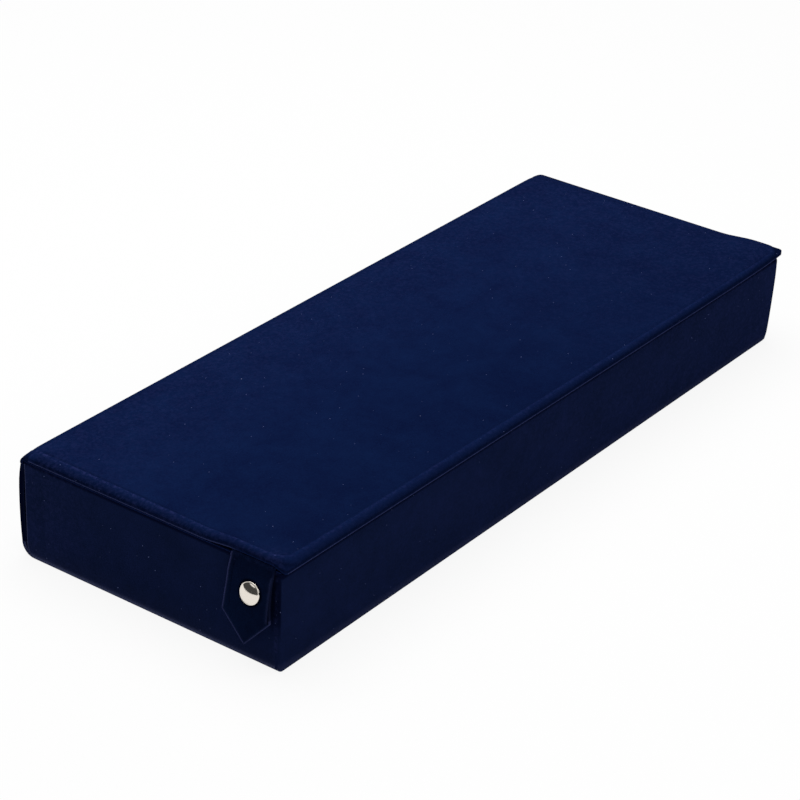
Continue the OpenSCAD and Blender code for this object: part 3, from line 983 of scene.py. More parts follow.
@dataclass
class Compartments:
    """The lined inside: rim and walls, the soft floor and the dividers."""

    sizes: Sizes
    dividers: int = 7
    divider_w: float = 3.4
    divider_h: float = 38
    # How far the cloth turns out at the foot of a divider, and from which height
    toe: float = 1.2
    toe_h: float = 1.6
    # The lining reaches down behind the edge of the floor pad, so no board shows there
    tuck: float = 1.5
    puff: float = 0.9
    air: float = 4.0
    most_puff: float = 1.6

    def build(self, shop: Workshop) -> None:
        """Build every piece of it."""
        self.lining(shop)
        self.floor(shop)
        for number in range(1, self.dividers + 1):
            self.divider(shop, number)

    def middle(self, number: int) -> float:
        """X of the middle of a divider."""
        low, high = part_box(f"divider_board_{number}")
        return (low[0] + high[0]) / (2 * MM)

    def lining(self, shop: Workshop) -> None:
        """One lining over the rim and down the inside of the walls."""
        z = self.sizes
        cloth = lay_flat("wall_lining_cover", z.end_x, z.front_y, z.rear_y, z.rim_z)
        wall, foot_z = z.end_x - z.room_x, z.pad_z - self.tuck
        with editing(cloth, "FACE", whole=True):
            bpy.ops.mesh.inset(thickness=wall * MM)
            bpy.ops.mesh.delete(type="FACE")
        choose(cloth, "EDGE", lambda m: abs(m.x) < z.room_x + 0.1
               and z.room_y0 - 0.1 < m.y < z.room_y1 + 0.1)
        with editing(cloth, "EDGE"):
            extrude(foot_z - z.rim_z)
        choose(cloth, "VERT", lambda m: abs(m.x) > z.end_x - 0.1 and m.y < z.front_y + 0.1)
        with editing(cloth):
            bpy.ops.mesh.bevel(offset=z.corner_r * MM, segments=1, affect="VERTICES")
        turn_over(cloth, True)
        shop.cloth(cloth, z.lining_t, 0.25, even=True)
        shop.hand_over(cloth, shop.finishes.lining, "tray", "wall_lining")

    def floor(self, shop: Workshop) -> None:
        """One soft floor pad that swells between the dividers which press it down."""
        z = self.sizes
        half, y0, y1 = z.room_x + 0.3, z.room_y0 - 0.3, z.room_y1 + 0.3
        lines = [self.middle(k) for k in range(1, self.dividers + 1)]
        walls = [-half, *lines, half]
        columns: list[float] = []
        for left, right in zip(walls, walls[1:]):
            columns += spread(left, right, 4.6)[:-1]
        columns.append(half)

        def form(column: float, row: float) -> tuple[float, float, float]:
            """A point of the pad, swollen by its place between the pressed lines."""
            left = max(w for w in walls[:-1] if w <= column + 0.01)
            right = min(w for w in walls if w > left + 1)
            across = (column - left) / (right - left)
            along = (row - y0) / (y1 - y0)
            edge = min(1, 6 * across, 6 * (1 - across), 15 * along, 15 * (1 - along))
            swell = self.puff * smooth_step(edge) + ripple(column, row, 5, 18, 0.35) * edge
            return column, row, z.pad_z - 0.2 + max(swell, 0)

        pad = lay("floor_pad_cover", columns, spread(y0, y1, 5), form)
        with editing(pad, "FACE", whole=True):
            extrude(-1)
        flatten(pad, z.floor_z)
        close_up(pad)

        def held(place: Vector) -> float:
            """The pad is glued below and pressed down along the dividers and walls."""
            pressed = min(abs(place.x - wall) for wall in walls) < 3 or min(place.y - y0, y1 - place.y) < 3
            return 1.0 if pressed or place.z < z.floor_z + 0.5 else 0.0

        inflate(pad, held, self.air, self.most_puff)
        apply_modifier(pad, "SUBSURF", levels=1, render_levels=1)
        activate(pad)
        bpy.ops.object.shade_smooth_by_angle(angle=math.radians(60))
        shop.hand_over(pad, shop.finishes.lining, "tray", "floor_pad")

    def divider(self, shop: Workshop, number: int) -> None:
        """The velvet over one divider board, turned out a little at its foot."""
        z = self.sizes
        middle = self.middle(number)
        half, top = self.divider_w / 2, z.pad_z + self.divider_h
        low, high = (half + self.toe, z.pad_z + 0.3), (half, z.pad_z + self.toe_h)
        section = rounded([(-low[0], low[1]), (-half, high[1]), (-half, top), (half, top), high, low],
                          half * 0.98, 5)
        rows = spread(z.room_y0 + 0.1, z.room_y1 - 0.1, 6, 0.8)

        def form(column: float, row: float) -> tuple[float, float, float]:
            """A point of the cut on the divider board."""
            x, height = section[int(column)]
            high = smooth_step((height - z.pad_z - 6) / 20)
            sway = ripple(number * 40, row, height, 40, 0.35) * high
            dip = ripple(number * 17, row, 0, 24, 0.25) * smooth_step((height - top + 3) / 3)
            return middle + x + sway, row, height + dip

        cloth = lay(f"divider_cover_{number}", range(len(section)), rows, form)
        flip(cloth)
        # Convex edges along the top are painted pale for worn pile and sheen
        shop.cloth(cloth, 0.6, 0.2, lambda m: 0.7 if m.z > top - 3 else 0)
        shop.hand_over(cloth, shop.finishes.lining, "tray", f"divider_velvet_{number}")


@dataclass
class Cover:
    """The book-style cover: padded lid, spine and the two cloth hinges."""

    sizes: Sizes
    # Widths of the border between the edge of the lid and its contour, which run unevenly as on a
    # hand-covered lid: along an end from the front to the rear, and along the front from end to end
    end_border: tuple[float, float] = (4.4, 7.6)
    front_border: tuple[float, float] = (6.6, 3.4)
    contour_r: float = 8
    lip_r: float = 1.6
    far_lip_r: float = 3.2
    side_h: float = 2.3
    border_h: float = 1.75
    field_h: float = 0.35
    ridge_h: float = 0.18
    groove_h: float = 0.34
    crown: float = 0.5
    turn_in: float = 7
    lining_in: float = 4.5
    strap_y: float = -72
    lift: float = 2.0
    far_lift: float = 2.1
    lift_reach: float = 20
    # How far the spine bows outwards
    bulge: float = 1.0
    fold_t: float = 2.3
    fold_inset: float = 0.15
    # How far the top of the spine is drawn in at both ends
    pinch: float = 0.6
    # How far the ends of its top corners are drawn in
    corner_in: float = 0.4
    spine_t: float = 3.2
    # How far the spine cut turns in round both ends, and what its flat cut has more for that
    spine_turn: float = 5
    spine_wrap: float = 14
    # How much the middle of the upper hinge is hollowed inside, and the length of its flat cut
    waist: float = 1.2
    upper_cut: float = 10.5

    def build(self, shop: Workshop) -> None:
        """Build every piece of it."""
        self.pad(shop)
        self.inside(shop)
        self.spine(shop)
        self.spine_inside(shop)
        self.lower_hinge(shop)
        self.upper_hinge(shop)

    def borders(self, x: float, y: float) -> tuple[float, float]:
        """Widths of the border towards the end and towards the front at a place."""
        z = self.sizes
        back = (y - z.lip_y) / (z.upper_y - z.lip_y)
        on = (x + z.end_x) / (2 * z.end_x)
        return (self.end_border[0] * (1 - back) + self.end_border[1] * back,
                self.front_border[0] * (1 - on) + self.front_border[1] * on)

    def inset(self, x: float, y: float) -> tuple[float, float]:
        """How far a place lies in from the edge of the lid.

        Args:
            x, y: the place.

        Returns:
            The share of the border from 0 to more than 1, and the distance in from the contour.
        """
        end, front = self.borders(x, y)
        across, along = (self.sizes.end_x - abs(x)) / end, (y - self.sizes.lip_y) / front
        mean = (end + front) / 2
        radius = 1 + self.contour_r / mean
        share = min(across, along)
        if max(across, along) < radius:
            share = max(0.0, radius - math.hypot(radius - across, radius - along))
        return share, (share - 1) * mean

    def top(self, x: float, y: float) -> float:
        """Height of the padded lid at a place: rounded border, pressed contour and soft field."""
        z = self.sizes
        share, depth = self.inset(x, y)
        height = self.side_h + self.border_h * math.sin(math.pi / 2 * min(share, 1) ** 0.6)
        height += self.field_h * smooth_step(depth / 4)
        height += self.ridge_h * bell(depth + 0.8, 0.8) - self.groove_h * bell(depth - 0.4, 0.55)
        u, v = x / z.end_x, (y - z.lip_y) / (z.upper_y - z.lip_y)
        soft = self.crown * (1 - u * u) * 4 * v * (1 - v)
        soft += ripple(x, y, 0, 46, 0.22) + ripple(x, y, 30, 17, 0.08)
        height += soft * smooth_step(depth / 10) * smooth_step((z.upper_y - y) / 12)
        return z.lid_z + height + ripple(x, y, 60, 5, 0.12) * min(share * 3, 1) * bell(depth, 4)

    def strap_lift(self, x: float, y: float) -> float:
        """How far a strap pushes up the lid at a place; at the far end the corner stays up too."""
        reach = math.exp(-(self.sizes.end_x - abs(x)) / self.lift_reach)
        beside = y - self.strap_y
        if x > 0:
            return self.far_lift * reach * smooth_step((22 - beside) / 24)
        past = (beside - 12) / 24 if beside > 0 else (-beside - 11) / 9
        return self.lift * reach * smooth_step(1 - past)

    def drawn_out(self, x: float, y: float) -> float:
        """How far the lid follows the leaning front at a place, least at the rear."""
        z = self.sizes
        share = max(z.upper_y - y, 0) / (z.upper_y - z.lip_y)
        return z.leaning(x, z.flare_z) * share ** 2

    def pad(self, shop: Workshop) -> None:
        """The padded lid: velvet over foam, wrapped round the lid board and turned in below."""
        z = self.sizes
        # Distance in from the edge and height of each line of the wrap, from the turned-in cut
        wrap = [(self.turn_in, 0), (1.4, 0), (0.6, 0), (0.2, 0.05), (0.03, 0.2),
                (0, 0.45), (0, 1.1), (0, 1.7), (0, self.side_h)]
        border = [0.2, 0.45] + spread(0.8, 9.8, 0.45) + [11, 13, 16, 20, 25]
        edge = [w[0] for w in wrap] + border
        half = stations(z.end_x, edge, 6.5)
        depth = [z.lip_y + b for b in edge] + spread(z.lip_y + border[-1], z.upper_y, 6.5)[1:]
        count = len(half)

        def form(column: float, row: float) -> tuple[float, float, float]:
            """A point of the cut over the foam or round the board."""
            ring = int(min(column, count - 1 - column, row))
            x, y = half[int(column)], depth[int(row)]
            if ring >= len(wrap):
                height = self.top(x, y)
            else:
                side, height = wrap[ring]
                height += z.lid_z
                end_on = min(column, count - 1 - column) <= ring
                x = math.copysign(z.end_x - side if end_on else min(abs(x), z.end_x - side), x)
                y = max(y, z.lip_y + side)
            height += self.strap_lift(x, y)
            # The front corners are rounded in plan
            radius = self.far_lip_r if x > 0 else self.lip_r
            past, on = abs(x) - z.end_x + radius, z.lip_y + radius - y
            if past > 0 and on > 0:
                share = max(past, on) / math.hypot(past, on)
                x = math.copysign(z.end_x - radius + past * share, x)
                y = z.lip_y + radius - on * share
            return x, y - self.drawn_out(x, y), height

        pad = lay("lid_pad", range(count), range(len(depth)), form)
        rear = z.upper_y - 0.01
        choose(pad, "EDGE", lambda m: m.y > rear)
        with editing(pad, "EDGE"):
            extrude(-2)
        flatten(pad, z.lid_z + 0.2)
        close_up(pad, 0.035)
        with editing(pad):
            bpy.ops.mesh.select_all(action="DESELECT")
            bpy.ops.mesh.select_non_manifold(extend=False)
            bpy.ops.mesh.edge_face_add()
        close_up(pad, 0.02)

        def before(place: Vector) -> tuple[float, float]:
            """Where a place of the lid was before it followed the leaning front."""
            return place.x, place.y + self.drawn_out(place.x, place.y)

        def fold(place: Vector) -> float:
            """The low edge of the wrap, where the velvet turns under the board, painted pale for worn pile
            and a sheen highlight.
            """
            x, y = before(place)
            low = smooth_step(1 - (place.z - self.strap_lift(x, y) - z.lid_z - 0.3) / 0.4)
            over_strap = abs(x) > z.end_x - 1 and y < self.strap_y + 15
            return 0.75 * low if min(z.end_x - abs(x), y - z.lip_y) < 1 and not over_strap else 0

        def ruffled(place: Vector) -> float:
            """The ridge along the contour and, less, the border below it; most at the near end."""
            x, y = before(place)
            share, depth = self.inset(x, y)
            end, front = self.borders(x, y)
            on_end = smooth_step(((y - z.lip_y) / front - (z.end_x - abs(x)) / end) / 1.5 + 0.5)
            rear, far = 2 * (y - z.lip_y) / (z.upper_y - z.lip_y) - 1, x / z.end_x
            most = 0.3 + ((0.5 + 0.2 * rear) if x < 0 else -0.15) * on_end
            ridge = most * (0.8 * bell(depth + 0.9, 1.1) + (0.3 if share < 1 else 0))
            # Handling has ruffled the near corner most
            ridge += 0.3 * math.exp(-((x + z.end_x - 7) ** 2 + (y - z.lip_y - 13) ** 2) / 30)
            return max(ridge, 0.3 * max(rear, far)) if share > 1 else ridge

        def pressed(place: Vector) -> float:
            """Painted shade: the side of the lid and the foot of its border, turned from the light, a dark
            line in the crease along the contour, and the field darker towards the front.
            """
            x, y = before(place)
            share, depth = self.inset(x, y)
            if place.z - z.lid_z - self.strap_lift(x, y) < 0.8 or y > z.upper_y - 0.5:
                return 0
            crease = 0.35 * bell(depth - 0.7, 0.8)
            front = 0.36 * (1 - 1.5 * (y - z.lip_y) / (z.upper_y - z.lip_y)) if share > 1 else 0
            return max(1 - share / 0.8, crease, front)

        mark(pad, "worn", fold)
        mark(pad, "ruffled", ruffled)
        mark(pad, "pressed", pressed)
        shop.hand_over(pad, shop.finishes.cover, "lid", "lid_velvet", "lid_foam", "lid_board")

    def inside(self, shop: Workshop) -> None:
        """The lining of the lid, glued over the turned-in velvet."""
        z = self.sizes
        half, y0 = z.end_x - self.lining_in, z.lip_y + self.lining_in

        def form(column: float, row: float) -> tuple[float, float, float]:
            """A point of the lining."""
            height = z.lid_z - 0.18 + ripple(column, row, 60, 30, 0.03) + self.strap_lift(column, row)
            return column, row - self.drawn_out(column, row), height

        columns, rows = [-x for x in spread(-half, half, 9)], spread(y0, z.upper_y, 9)
        cloth = lay("lid_lining_cover", columns, rows, form)
        shop.cloth(cloth, 0.5, 0.15)
        shop.hand_over(cloth, shop.finishes.lining, "lid", "lid_lining")

    def bow(self, height: float) -> float:
        """Y of the outer face of the spine at a height."""
        z = self.sizes
        share = (height - z.lower_z) / (z.upper_z - z.lower_z)
        return z.spine_y + self.bulge * 4 * share * (1 - share)

    def pinched(self, x: float) -> float:
        """How far the top of the spine is drawn in at a place along it."""
        return self.pinch * bell(self.sizes.end_x - abs(x), 12)

    def spine(self, shop: Workshop) -> None:
        """The spine cut, bowed outwards and turned in round both ends of the spine board."""
        z = self.sizes
        depth, end, turned = self.spine_t - 0.15, z.end_x, z.end_x - self.spine_turn
        plan = rounded([(-turned, depth), (-end, depth), (-end, 0), (end, 0), (end, depth), (turned, depth)],
                       0.6, 9)[::-1]

        def form(column: float, row: float) -> tuple[float, float, float]:
            """A point of the cut round the spine board."""
            x, deep = plan[int(column)]
            deep += self.pinched(x) * smooth_step((row - z.upper_z + 12) / 12)
            near_end = smooth_step((abs(x) - turned) / self.spine_turn)
            x -= math.copysign(self.corner_in * smooth_step((row - z.upper_z + 3) / 3) * near_end, x)
            return x, self.bow(row) - deep + (ripple(x, 0, row, 40, 0.15) if deep < 0.1 else 0), row

        cloth = lay("spine_cover", range(len(plan)), spread(z.lower_z, z.upper_z, 5, 0.7), form)
        shop.cloth(cloth, z.velvet_t, 0.2)
        # Painted shadow on the ends of the spine cover, in the gap beside the end walls
        mark(cloth, "pressed", lambda m: (abs(m.x) - z.end_x + 0.5) / 0.3)
        shop.hand_over(cloth, shop.finishes.wall, "spine", "spine_velvet")

    def spine_inside(self, shop: Workshop) -> None:
        """The lining of the spine."""
        z = self.sizes
        half = z.end_x - 3

        def form(column: float, row: float) -> tuple[float, float, float]:
            """A point of the lining on the inside of the spine board."""
            return column, self.bow(row) - self.spine_t, row

        cloth = lay("spine_lining_cover", spread(-half, half, 10), spread(z.lower_z, z.upper_z, 5), form)
        shop.cloth(cloth, 0.5, 0.15)
        shop.hand_over(cloth, shop.finishes.lining, "spine", "spine_lining")

    def lower_hinge(self, shop: Workshop) -> None:
        """The cloth hinge under the rear edge, from the base board to the spine."""
        z = self.sizes
        radius = z.lower_z
        turns = [math.radians(t) for t in spread(0, 90, 6)]

        def form(column: float, row: float) -> tuple[float, float, float]:
            """A point of the hinge cloth on its bend."""
            return column, z.lower_y + radius * math.sin(row), radius * (1 - math.cos(row))

        half = z.end_x - self.fold_inset
        cloth = lay("lower_hinge_cloth", [-x for x in spread(-half, half, 8)], turns, form)
        # Its edges and the foot of both ends are painted pale for worn pile and sheen highlights
        shop.cloth(cloth, self.fold_t, 0.35, lambda m: 0.3)
        mark(cloth, "worn", lambda m: 0.5 * bell(m.z, 1.4) if abs(m.x) > half - 1 else 0)
        shop.hand_over(cloth, shop.finishes.wall, "", "lower_fold_cloth")
        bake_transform(cloth)

    def upper_hinge(self, shop: Workshop) -> None:
        """The padded cloth hinge over the rear edge, from the spine to the lid, as thick as both."""
        z = self.sizes
        radius = z.spine_y - z.upper_y
        half = z.end_x - self.fold_inset
        columns = [-x for x in stations(half, [0, 0.2, 0.45, 0.8] + spread(1.25, 9.8, 0.45) + [12, 15], 8)]

        def form(column: float, row: float) -> tuple[float, float, float]:
            """A point of the hinge cloth on its bend, drawn down at the ends as the lid is."""
            rise = self.top(column, z.upper_y) - z.upper_z
            out = radius - self.pinched(column)
            return column, z.upper_y + out * math.cos(row), z.upper_z + rise * math.sin(row)

        cloth = lay("upper_hinge_cloth", columns, [math.radians(t) for t in spread(0, 90, 6)], form)
        with editing(cloth, "FACE", whole=True):
            extrude()
        for point in cloth.data.vertices:
            if point.select:
                out = radius - self.pinched(point.co.x / MM)
                cosine = min(max((point.co.y / MM - z.upper_y) / out, 0), 1)
                sine = math.sqrt(1 - cosine ** 2)
                inner = radius - self.spine_t + 2 * self.waist * sine * cosine
                point.co.y = (z.upper_y + inner * cosine) * MM
                point.co.z = (z.upper_z + (z.lid_z - z.upper_z) * sine) * MM
        close_up(cloth, 0.02)
        round_edges(cloth, 0.4, 50, 0.02)
        mark(cloth, "ruffled", lambda m: 0.3 if self.inset(m.x, 0)[0] < 1 else 0)
        # Painted shade on both ends, turned from the light as the side of the lid is
        mark(cloth, "pressed", lambda m: 1 - self.inset(m.x, 0)[0] / 0.8)
        shop.hand_over(cloth, shop.finishes.cover, "", "upper_fold_cloth")
        # The bend starts and ends where the inner face does, which keeps it clear of the rear wall
        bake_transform(cloth)


@dataclass
class Strap:
    """A snap strap: a stiffened velvet leaf, its soft neck under the lid and the polished cap."""

    sizes: Sizes
    side: Side
    length: float = 46.2
    point: float = 16.6
    top_w: float = 28.8
    low_w: float = 32.0
    # The leaf hangs a little to the rear of its snap, with its rear shoulder lower
    leaf_y: float = -71.6
    skew: float = 0.07
    snap_y: float = -74.25
    panel_y: float = -73.15
    stand: float = 3.4
    top_stand: float = 0.3
    drop: float = 15
    seat_u: float = 6.05
    cap_r: float = 6.4
    cap_lean: float = 13
    ring_r: float = 0.4
    dome_h: float = 1.65
    rim_t: float = 1.6
    full_t: float = 2.5
    # The neck: its thickness, how far its root lies under the lid and the length of its flat cut
    neck_t: float = 1.5
    root: float = 9
    neck_cut: float = 12.5
    panel_half: float = 12.15
    # The leaf leans out from the lid down to below its snap, in degrees, and less from there on
    lean: float = 9
    low_lean: float = 5

    def build(self, shop: Workshop) -> None:
        """Build every piece of it."""
        self.leaf(shop)
        self.neck(shop)
        self.cap(shop)

    def half_width(self, down: float) -> float:
        """Half of the width of the strap at a distance down from its top."""
        if down > self.length - self.point:
            return self.low_w / 2 * max(self.length - down, 0) / self.point
        return self.flank(down)

    def flank(self, down: float) -> float:
        """Distance of the curved long edges from the middle line."""
        share = max(down, 0) / (self.length - self.point)
        return (self.top_w + (self.low_w - self.top_w) * share ** 2.6) / 2

    def depth(self, across: float, down: float) -> float:
        """Distance of a point of the leaf in from its outline."""
        slope = math.atan2(self.low_w / 2, self.point)
        tip = (self.length - down) * math.sin(slope) - abs(across) * math.cos(slope)
        return max(min(self.flank(down) - abs(across), tip), 0)

    def out(self, down: float) -> float:
        """Distance of the back of the leaf from the end wall at a distance down from its top."""
        snap, low = self.drop - self.top_stand, self.drop + self.cap_r
        out = self.stand + (min(down, low) - snap) * math.tan(math.radians(self.lean))
        out += max(down - low, 0) * math.tan(math.radians(self.low_lean))
        return self.top_stand + (out - self.top_stand) * smooth_step(down / 8)

    def past_cap(self, across: float, down: float) -> float:
        """Distance of a point of the leaf from the rim of the cap."""
        return math.hypot(across + self.leaf_y - self.snap_y, down - self.drop + self.top_stand) - self.cap_r

    def past_panel(self, across: float) -> float:
        """Distance of a point of the leaf to the rear of the middle of the raised panel."""
        return across + self.leaf_y - self.panel_y

    def height(self, across: float, down: float) -> float:
        """Thickness of the leaf at a point: thin rim, and a raised panel that fades towards the tip."""
        depth = self.depth(across, down)
        rolled = self.rim_t * (0.5 + 0.5 * math.sqrt(1 - (1 - min(depth / 0.7, 1)) ** 2))
        panel = self.panel_half - abs(self.past_panel(across))
        fade = smooth_step((36 - down) / 14)
        raised = (self.full_t - self.rim_t) * smooth_step(panel / 1.2) * fade
        crease = 0.4 * bell(panel + 0.3, 0.5) * fade if across > 0 else 0
        lap = 0.3 * bell(self.past_cap(across, down) - 0.7, 0.6)
        full = rolled - crease + raised + 0.25 * smooth_step((depth - 6) / 6) + lap
        return 0.9 + (full - 0.9) * smooth_step((down + 1) / 5)

    def leaf(self, shop: Workshop) -> None:
        """The stiffened leaf, closed all round."""
        z = self.sizes
        rings = [0, 0.012, 0.03, 0.05, 0.07, 0.09, 0.11, 0.13, 0.16, 0.19]
        rings += [0.215, 0.24, 0.265, 0.29, 0.32, 0.36, 0.42]
        shares = stations(1, rings, 0.06)
        shoulder = self.length - self.point
        rows = spread(0, shoulder - 1, 0.75) + spread(shoulder - 0.75, self.length - 0.2, 0.45)
        sign = self.side.value

        def place(across: float, down: float, out: float) -> tuple[float, float, float]:
            """A point of the leaf, from its middle line, its top and the end wall."""
            tilt = self.skew * across * min(down / shoulder, 1)
            return sign * (z.end_x + out), self.leaf_y + across, z.rim_z - down - tilt

        def front(column: float, row: float) -> tuple[float, float, float]:
            """A point of the outer face."""
            across = sign * column * self.half_width(row)
            return place(across, row, self.out(row) + self.height(across, row))

        leaf = lay(f"{self.side.word}_strap_leaf", shares, [-r for r in reversed(rows)],
                   lambda column, row: front(column, -row))
        with editing(leaf, "FACE", whole=True):
            extrude()
        for point in leaf.data.vertices:
            if point.select:
                point.co.x = sign * (z.end_x + self.out(self.spot(point.co / MM)[1])) * MM
        close_up(leaf, 0.03)

        def outline(spot: Vector) -> float:
            """The worn outline with its painted sheen highlight and, less, the front edge of the raised
            panel.
            """
            across, down = self.spot(spot)
            past = self.past_panel(across) + self.panel_half
            panel = 0.2 * bell(past, 0.5) if 3 < down < shoulder else 0
            # The rear edge is painted palest for wear and sheen; the narrow side faces hardly are
            most, reach = (0.95, 0.9) if across > 0 else (0.5 if down > shoulder - 2 else 0.1, 0.6)
            above = smooth_step((abs(spot.x) - z.end_x - self.out(down) - 0.4) / 0.5)
            return above * max(most * bell(self.depth(across, down), reach), panel)

        def pressed(spot: Vector) -> float:
            """Painted shade: under the lid, a shadow ring round the cap, and the strip in front of the
            panel.
            """
            across, down = self.spot(spot)
            ring = self.past_cap(across, down)
            strip = 0.7 if self.past_panel(across) < -self.panel_half - 0.6 and down < shoulder else 0
            return max(0.35 * smooth_step(1 - down / 10), bell(ring - 0.5, 0.8), strip)

        mark(leaf, "worn", outline)
        mark(leaf, "pressed", pressed)
        word = self.side.word
        shop.hand_over(leaf, shop.finishes.strap, f"{word}_strap",
                       f"{word}_strap_face", f"{word}_strap_back", f"{word}_strap_core")

    def spot(self, place: Vector) -> tuple[float, float]:
        """Distances of a point of the leaf from its middle line and down from its top."""
        across = place.y - self.leaf_y
        plain = self.sizes.rim_z - place.z
        shoulder = self.length - self.point
        share = self.skew * across / shoulder
        return across, plain / (1 + share) if plain < shoulder else plain - self.skew * across

    def neck(self, shop: Workshop) -> None:
        """The soft neck, from under the lid over its edge to the top of the leaf."""
        z = self.sizes
        sign = self.side.value
        line = rounded([(-self.root, z.lid_z + 0.5), (0.35, z.lid_z + 1.0),
                        (self.top_stand + 0.95, z.rim_z - 3)], 1.1, 1, 0.4)

        def form(column: float, row: float) -> tuple[float, float, float]:
            """A point of the middle of the neck."""
            out, height = line[int(row)]
            return sign * (z.end_x + out), self.leaf_y - sign * column * (self.top_w / 2 - 0.1), height

        neck = lay(f"{self.side.word}_strap_neck", spread(-1, 1, 0.08, 0.03), range(len(line)), form)
        apply_modifier(neck, "SOLIDIFY", thickness=self.neck_t * MM, offset=0)
        close_up(neck)
        round_edges(neck, 0.4, 50)
        rear = self.leaf_y + self.top_w / 2
        mark(neck, "ruffled", lambda m: 0.15)
        # Painted shade over the whole neck, which lies under the lid's edge; its rear edge is painted pale
        # for worn pile and sheen
        mark(neck, "pressed", lambda m: 0.35)
        mark(neck, "worn", lambda m: 0.7 * bell(rear - m.y, 0.9) if abs(m.x) > z.end_x + 1 else 0)
        word = self.side.word
        shop.hand_over(neck, shop.finishes.strap, "", f"{word}_strap_tail")
        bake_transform(neck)

    def cap(self, shop: Workshop) -> None:
        """The domed cap with its rolled rim, spun round the axis of the snap."""
        z = self.sizes
        sign = self.side.value
        # The rim is rolled up to a ring round the foot of the dome
        profile = [(self.cap_r - 0.8, 0.05)]
        for turn in spread(-90, 115, 20):
            angle = math.radians(turn)
            profile.append((self.cap_r - self.ring_r * (1 - math.cos(angle)),
                            self.ring_r * (1 + math.sin(angle))))
        foot, low = profile[-1]
        foot -= 0.1
        radius = (foot ** 2 + self.dome_h ** 2) / (2 * self.dome_h)
        for share in spread(1, 0.04, 0.05):
            reach = foot * share
            profile.append((reach, low + self.dome_h - radius + math.sqrt(radius ** 2 - reach ** 2)))
        deselect_all()
        bpy.ops.mesh.primitive_circle_add(vertices=72, radius=profile[0][0] * MM, fill_type="NGON",
                                          location=(0, 0, profile[0][1] * MM))
        cap = bpy.context.object
        cap.name = cap.data.name = f"{self.side.word}_snap_cap_spun"
        bpy.ops.object.transform_apply(location=True, rotation=True, scale=True)
        with editing(cap, "FACE", whole=True):
            for (last, low), (reach, high) in zip(profile, profile[1:]):
                extrude(high - low)
                share = reach / last
                bpy.ops.transform.resize(value=(share, share, 1), center_override=(0, 0, high * MM))
        # The cap faces a little upwards, as the leaf below it does
        up, on = math.sin(math.radians(self.cap_lean)), math.cos(math.radians(self.cap_lean))
        cap.data.transform(Matrix((
            (up, 0, sign * on, sign * (z.end_x + self.seat_u) * MM),
            (0, 1, 0, self.snap_y * MM),
            (-sign * on, 0, up, (z.lid_z - self.drop) * MM),
            (0, 0, 0, 1))))
        with editing(cap, "FACE", whole=True):
            bpy.ops.mesh.normals_make_consistent(inside=False)
        activate(cap)
        bpy.ops.object.shade_smooth_by_angle(angle=math.radians(50))
        word = self.side.word
        shop.hand_over(cap, shop.finishes.nickel, f"{word}_strap", f"{word}_snap_cap")


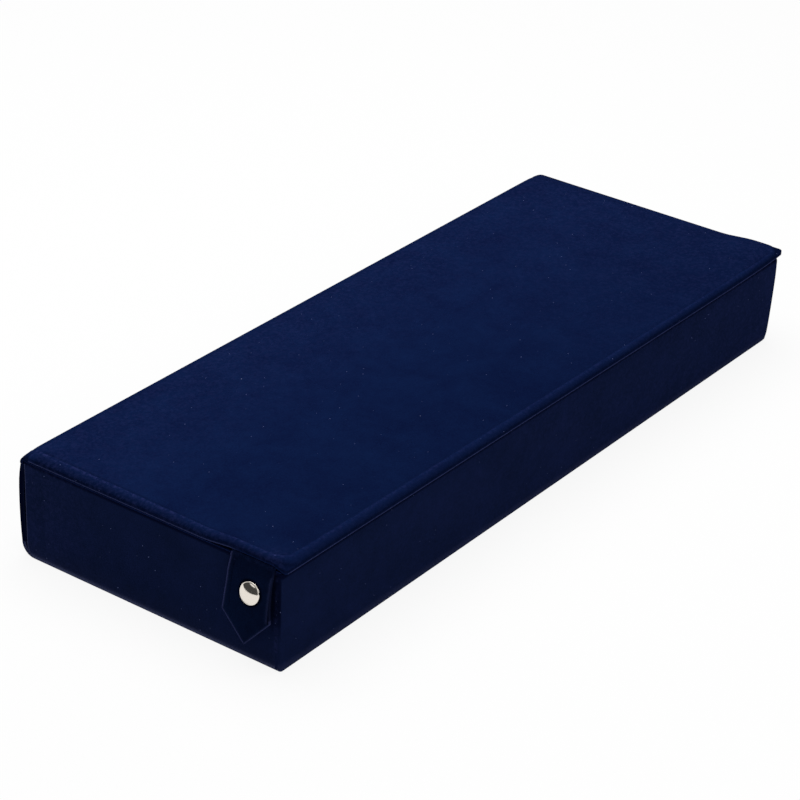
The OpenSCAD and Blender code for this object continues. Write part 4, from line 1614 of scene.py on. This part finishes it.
@dataclass
class Studio:
    """The floor, the soft lights and the camera at the viewing angle of the photograph."""

    focal_px: float = 2802.84
    azimuth: float = -54.0194
    elevation: float = 28.5534
    roll: float = 2.0096
    distance: float = 1701.54
    aim_x: float = 28.9456
    aim_y: float = 39.296
    picture_px: float = 800
    sensor_mm: float = 36
    # Sine of the height up to which the room is dim
    room_top: float = 0.57

    def build(self) -> None:
        """Set up floor, lights and camera."""
        self.camera()
        self.floor()
        self.lights()
        view = bpy.context.scene.view_settings
        view.view_transform = "Standard"

    def camera(self) -> None:
        """Place the camera."""
        a, e, r = (math.radians(v) for v in (self.azimuth, self.elevation, self.roll))
        back = Vector((math.sin(a) * math.cos(e), -math.cos(a) * math.cos(e), math.sin(e)))
        level = Vector((math.cos(a), math.sin(a), 0))
        upright = back.cross(level)
        right = level * math.cos(r) + upright * math.sin(r)
        up = upright * math.cos(r) - level * math.sin(r)
        place = Vector((self.aim_x, self.aim_y, 0)) + back * self.distance
        data = bpy.data.cameras.new("camera")
        data.sensor_width = self.sensor_mm
        data.lens = self.sensor_mm * self.focal_px / self.picture_px
        data.clip_end = 20
        camera = bpy.data.objects.new("camera", data)
        bpy.context.scene.collection.objects.link(camera)
        turn = Matrix((right, up, back)).transposed().to_4x4()
        camera.matrix_world = Matrix.Translation(place * MM) @ turn
        bpy.context.scene.camera = camera

    def floor(self) -> None:
        """A wide pale floor that shows white and keeps a soft shadow."""
        deselect_all()
        bpy.ops.mesh.primitive_plane_add(size=12)
        floor = bpy.context.object
        floor.name = "floor"
        material, tree = blank_material("white paper, matt")
        path = add(tree, "ShaderNodeLightPath")
        seen = reckon(tree, "MAXIMUM", path.outputs["Is Camera Ray"], path.outputs["Is Glossy Ray"])
        share = reckon(tree, "MULTIPLY", seen, 0.88)
        paper = add(tree, "ShaderNodeBsdfDiffuse", {"Color": linear("e6e6e6")})
        glow = add(tree, "ShaderNodeEmission", {"Color": (1, 1, 1, 1), "Strength": 1.0})
        sheet = add(tree, "ShaderNodeMixShader", {0: share, 1: paper.outputs[0], 2: glow.outputs[0]})
        add(tree, "ShaderNodeOutputMaterial", {"Surface": sheet.outputs[0]})
        floor.data.materials.append(material)

    def lights(self) -> None:
        """One wide soft box overhead, a weak one at the front and an even white surround."""
        world = bpy.data.worlds.new("surround")
        bpy.context.scene.world = world
        world.use_nodes = True
        tree = world.node_tree
        tree.nodes.clear()
        path = add(tree, "ShaderNodeLightPath")
        # Metal mirrors the dim room between the edge of the paper and the lamps overhead
        way = add(tree, "ShaderNodeSeparateXYZ", {0: add(tree, "ShaderNodeTexCoord").outputs["Generated"]})
        above = spanned(tree, way.outputs["Z"], self.room_top, self.room_top + 0.03)
        mirrored = spanned(tree, above, 0.0, 1.0, 0.06)
        glossy = reckon(tree, "MULTIPLY", path.outputs["Is Glossy Ray"], mirrored)
        straight = reckon(tree, "ADD", path.outputs["Is Camera Ray"], glossy)
        level = reckon(tree, "MULTIPLY_ADD", path.outputs["Is Diffuse Ray"], 0.35, straight)
        back = add(tree, "ShaderNodeBackground", {"Color": (1, 1, 1, 1), "Strength": level})
        add(tree, "ShaderNodeOutputWorld", {"Surface": back.outputs[0]})
        for name, place, size, watts in (("overhead", (0.1, 0.25, 1.5), 1.6, 26),
                                         ("front", (-0.6, -1.6, 1.0), 0.9, 7)):
            data = bpy.data.lights.new(name, "AREA")
            data.shape = "SQUARE"
            data.size = size
            data.energy = watts
            lamp = bpy.data.objects.new(name, data)
            bpy.context.scene.collection.objects.link(lamp)
            lamp.location = place
            lamp.rotation_euler = (-Vector(place)).to_track_quat("-Z", "Y").to_euler()


def dress_hardware(frame: Mapping[str, object], finishes: Finishes) -> None:
    """Give the nodes that stay visible their materials.

    Args:
        frame: the loaded frame.
        finishes: the materials of the case.
    """
    for name, node in frame["nodes"].items():
        material = (finishes.nickel if "snap" in name else finishes.board).material
        if node.material_slots:
            for slot in node.material_slots:
                slot.material = material
        else:
            node.data.materials.append(material)
        LOG.info("%s: %s", name, material.name)


def main() -> None:
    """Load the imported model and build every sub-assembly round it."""
    logging.basicConfig(level=logging.INFO, format="%(message)s")
    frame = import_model()
    Studio().build()
    sizes = Sizes.measured()
    shop = Workshop(Finishes())
    dress_hardware(frame, shop.finishes)
    for assembly in (TrayCover(sizes), Compartments(sizes), Cover(sizes), Strap(sizes, Side.NEAR),
                     Strap(sizes, Side.FAR)):
        assembly.build(shop)


if __name__ == "__main__":
    main()
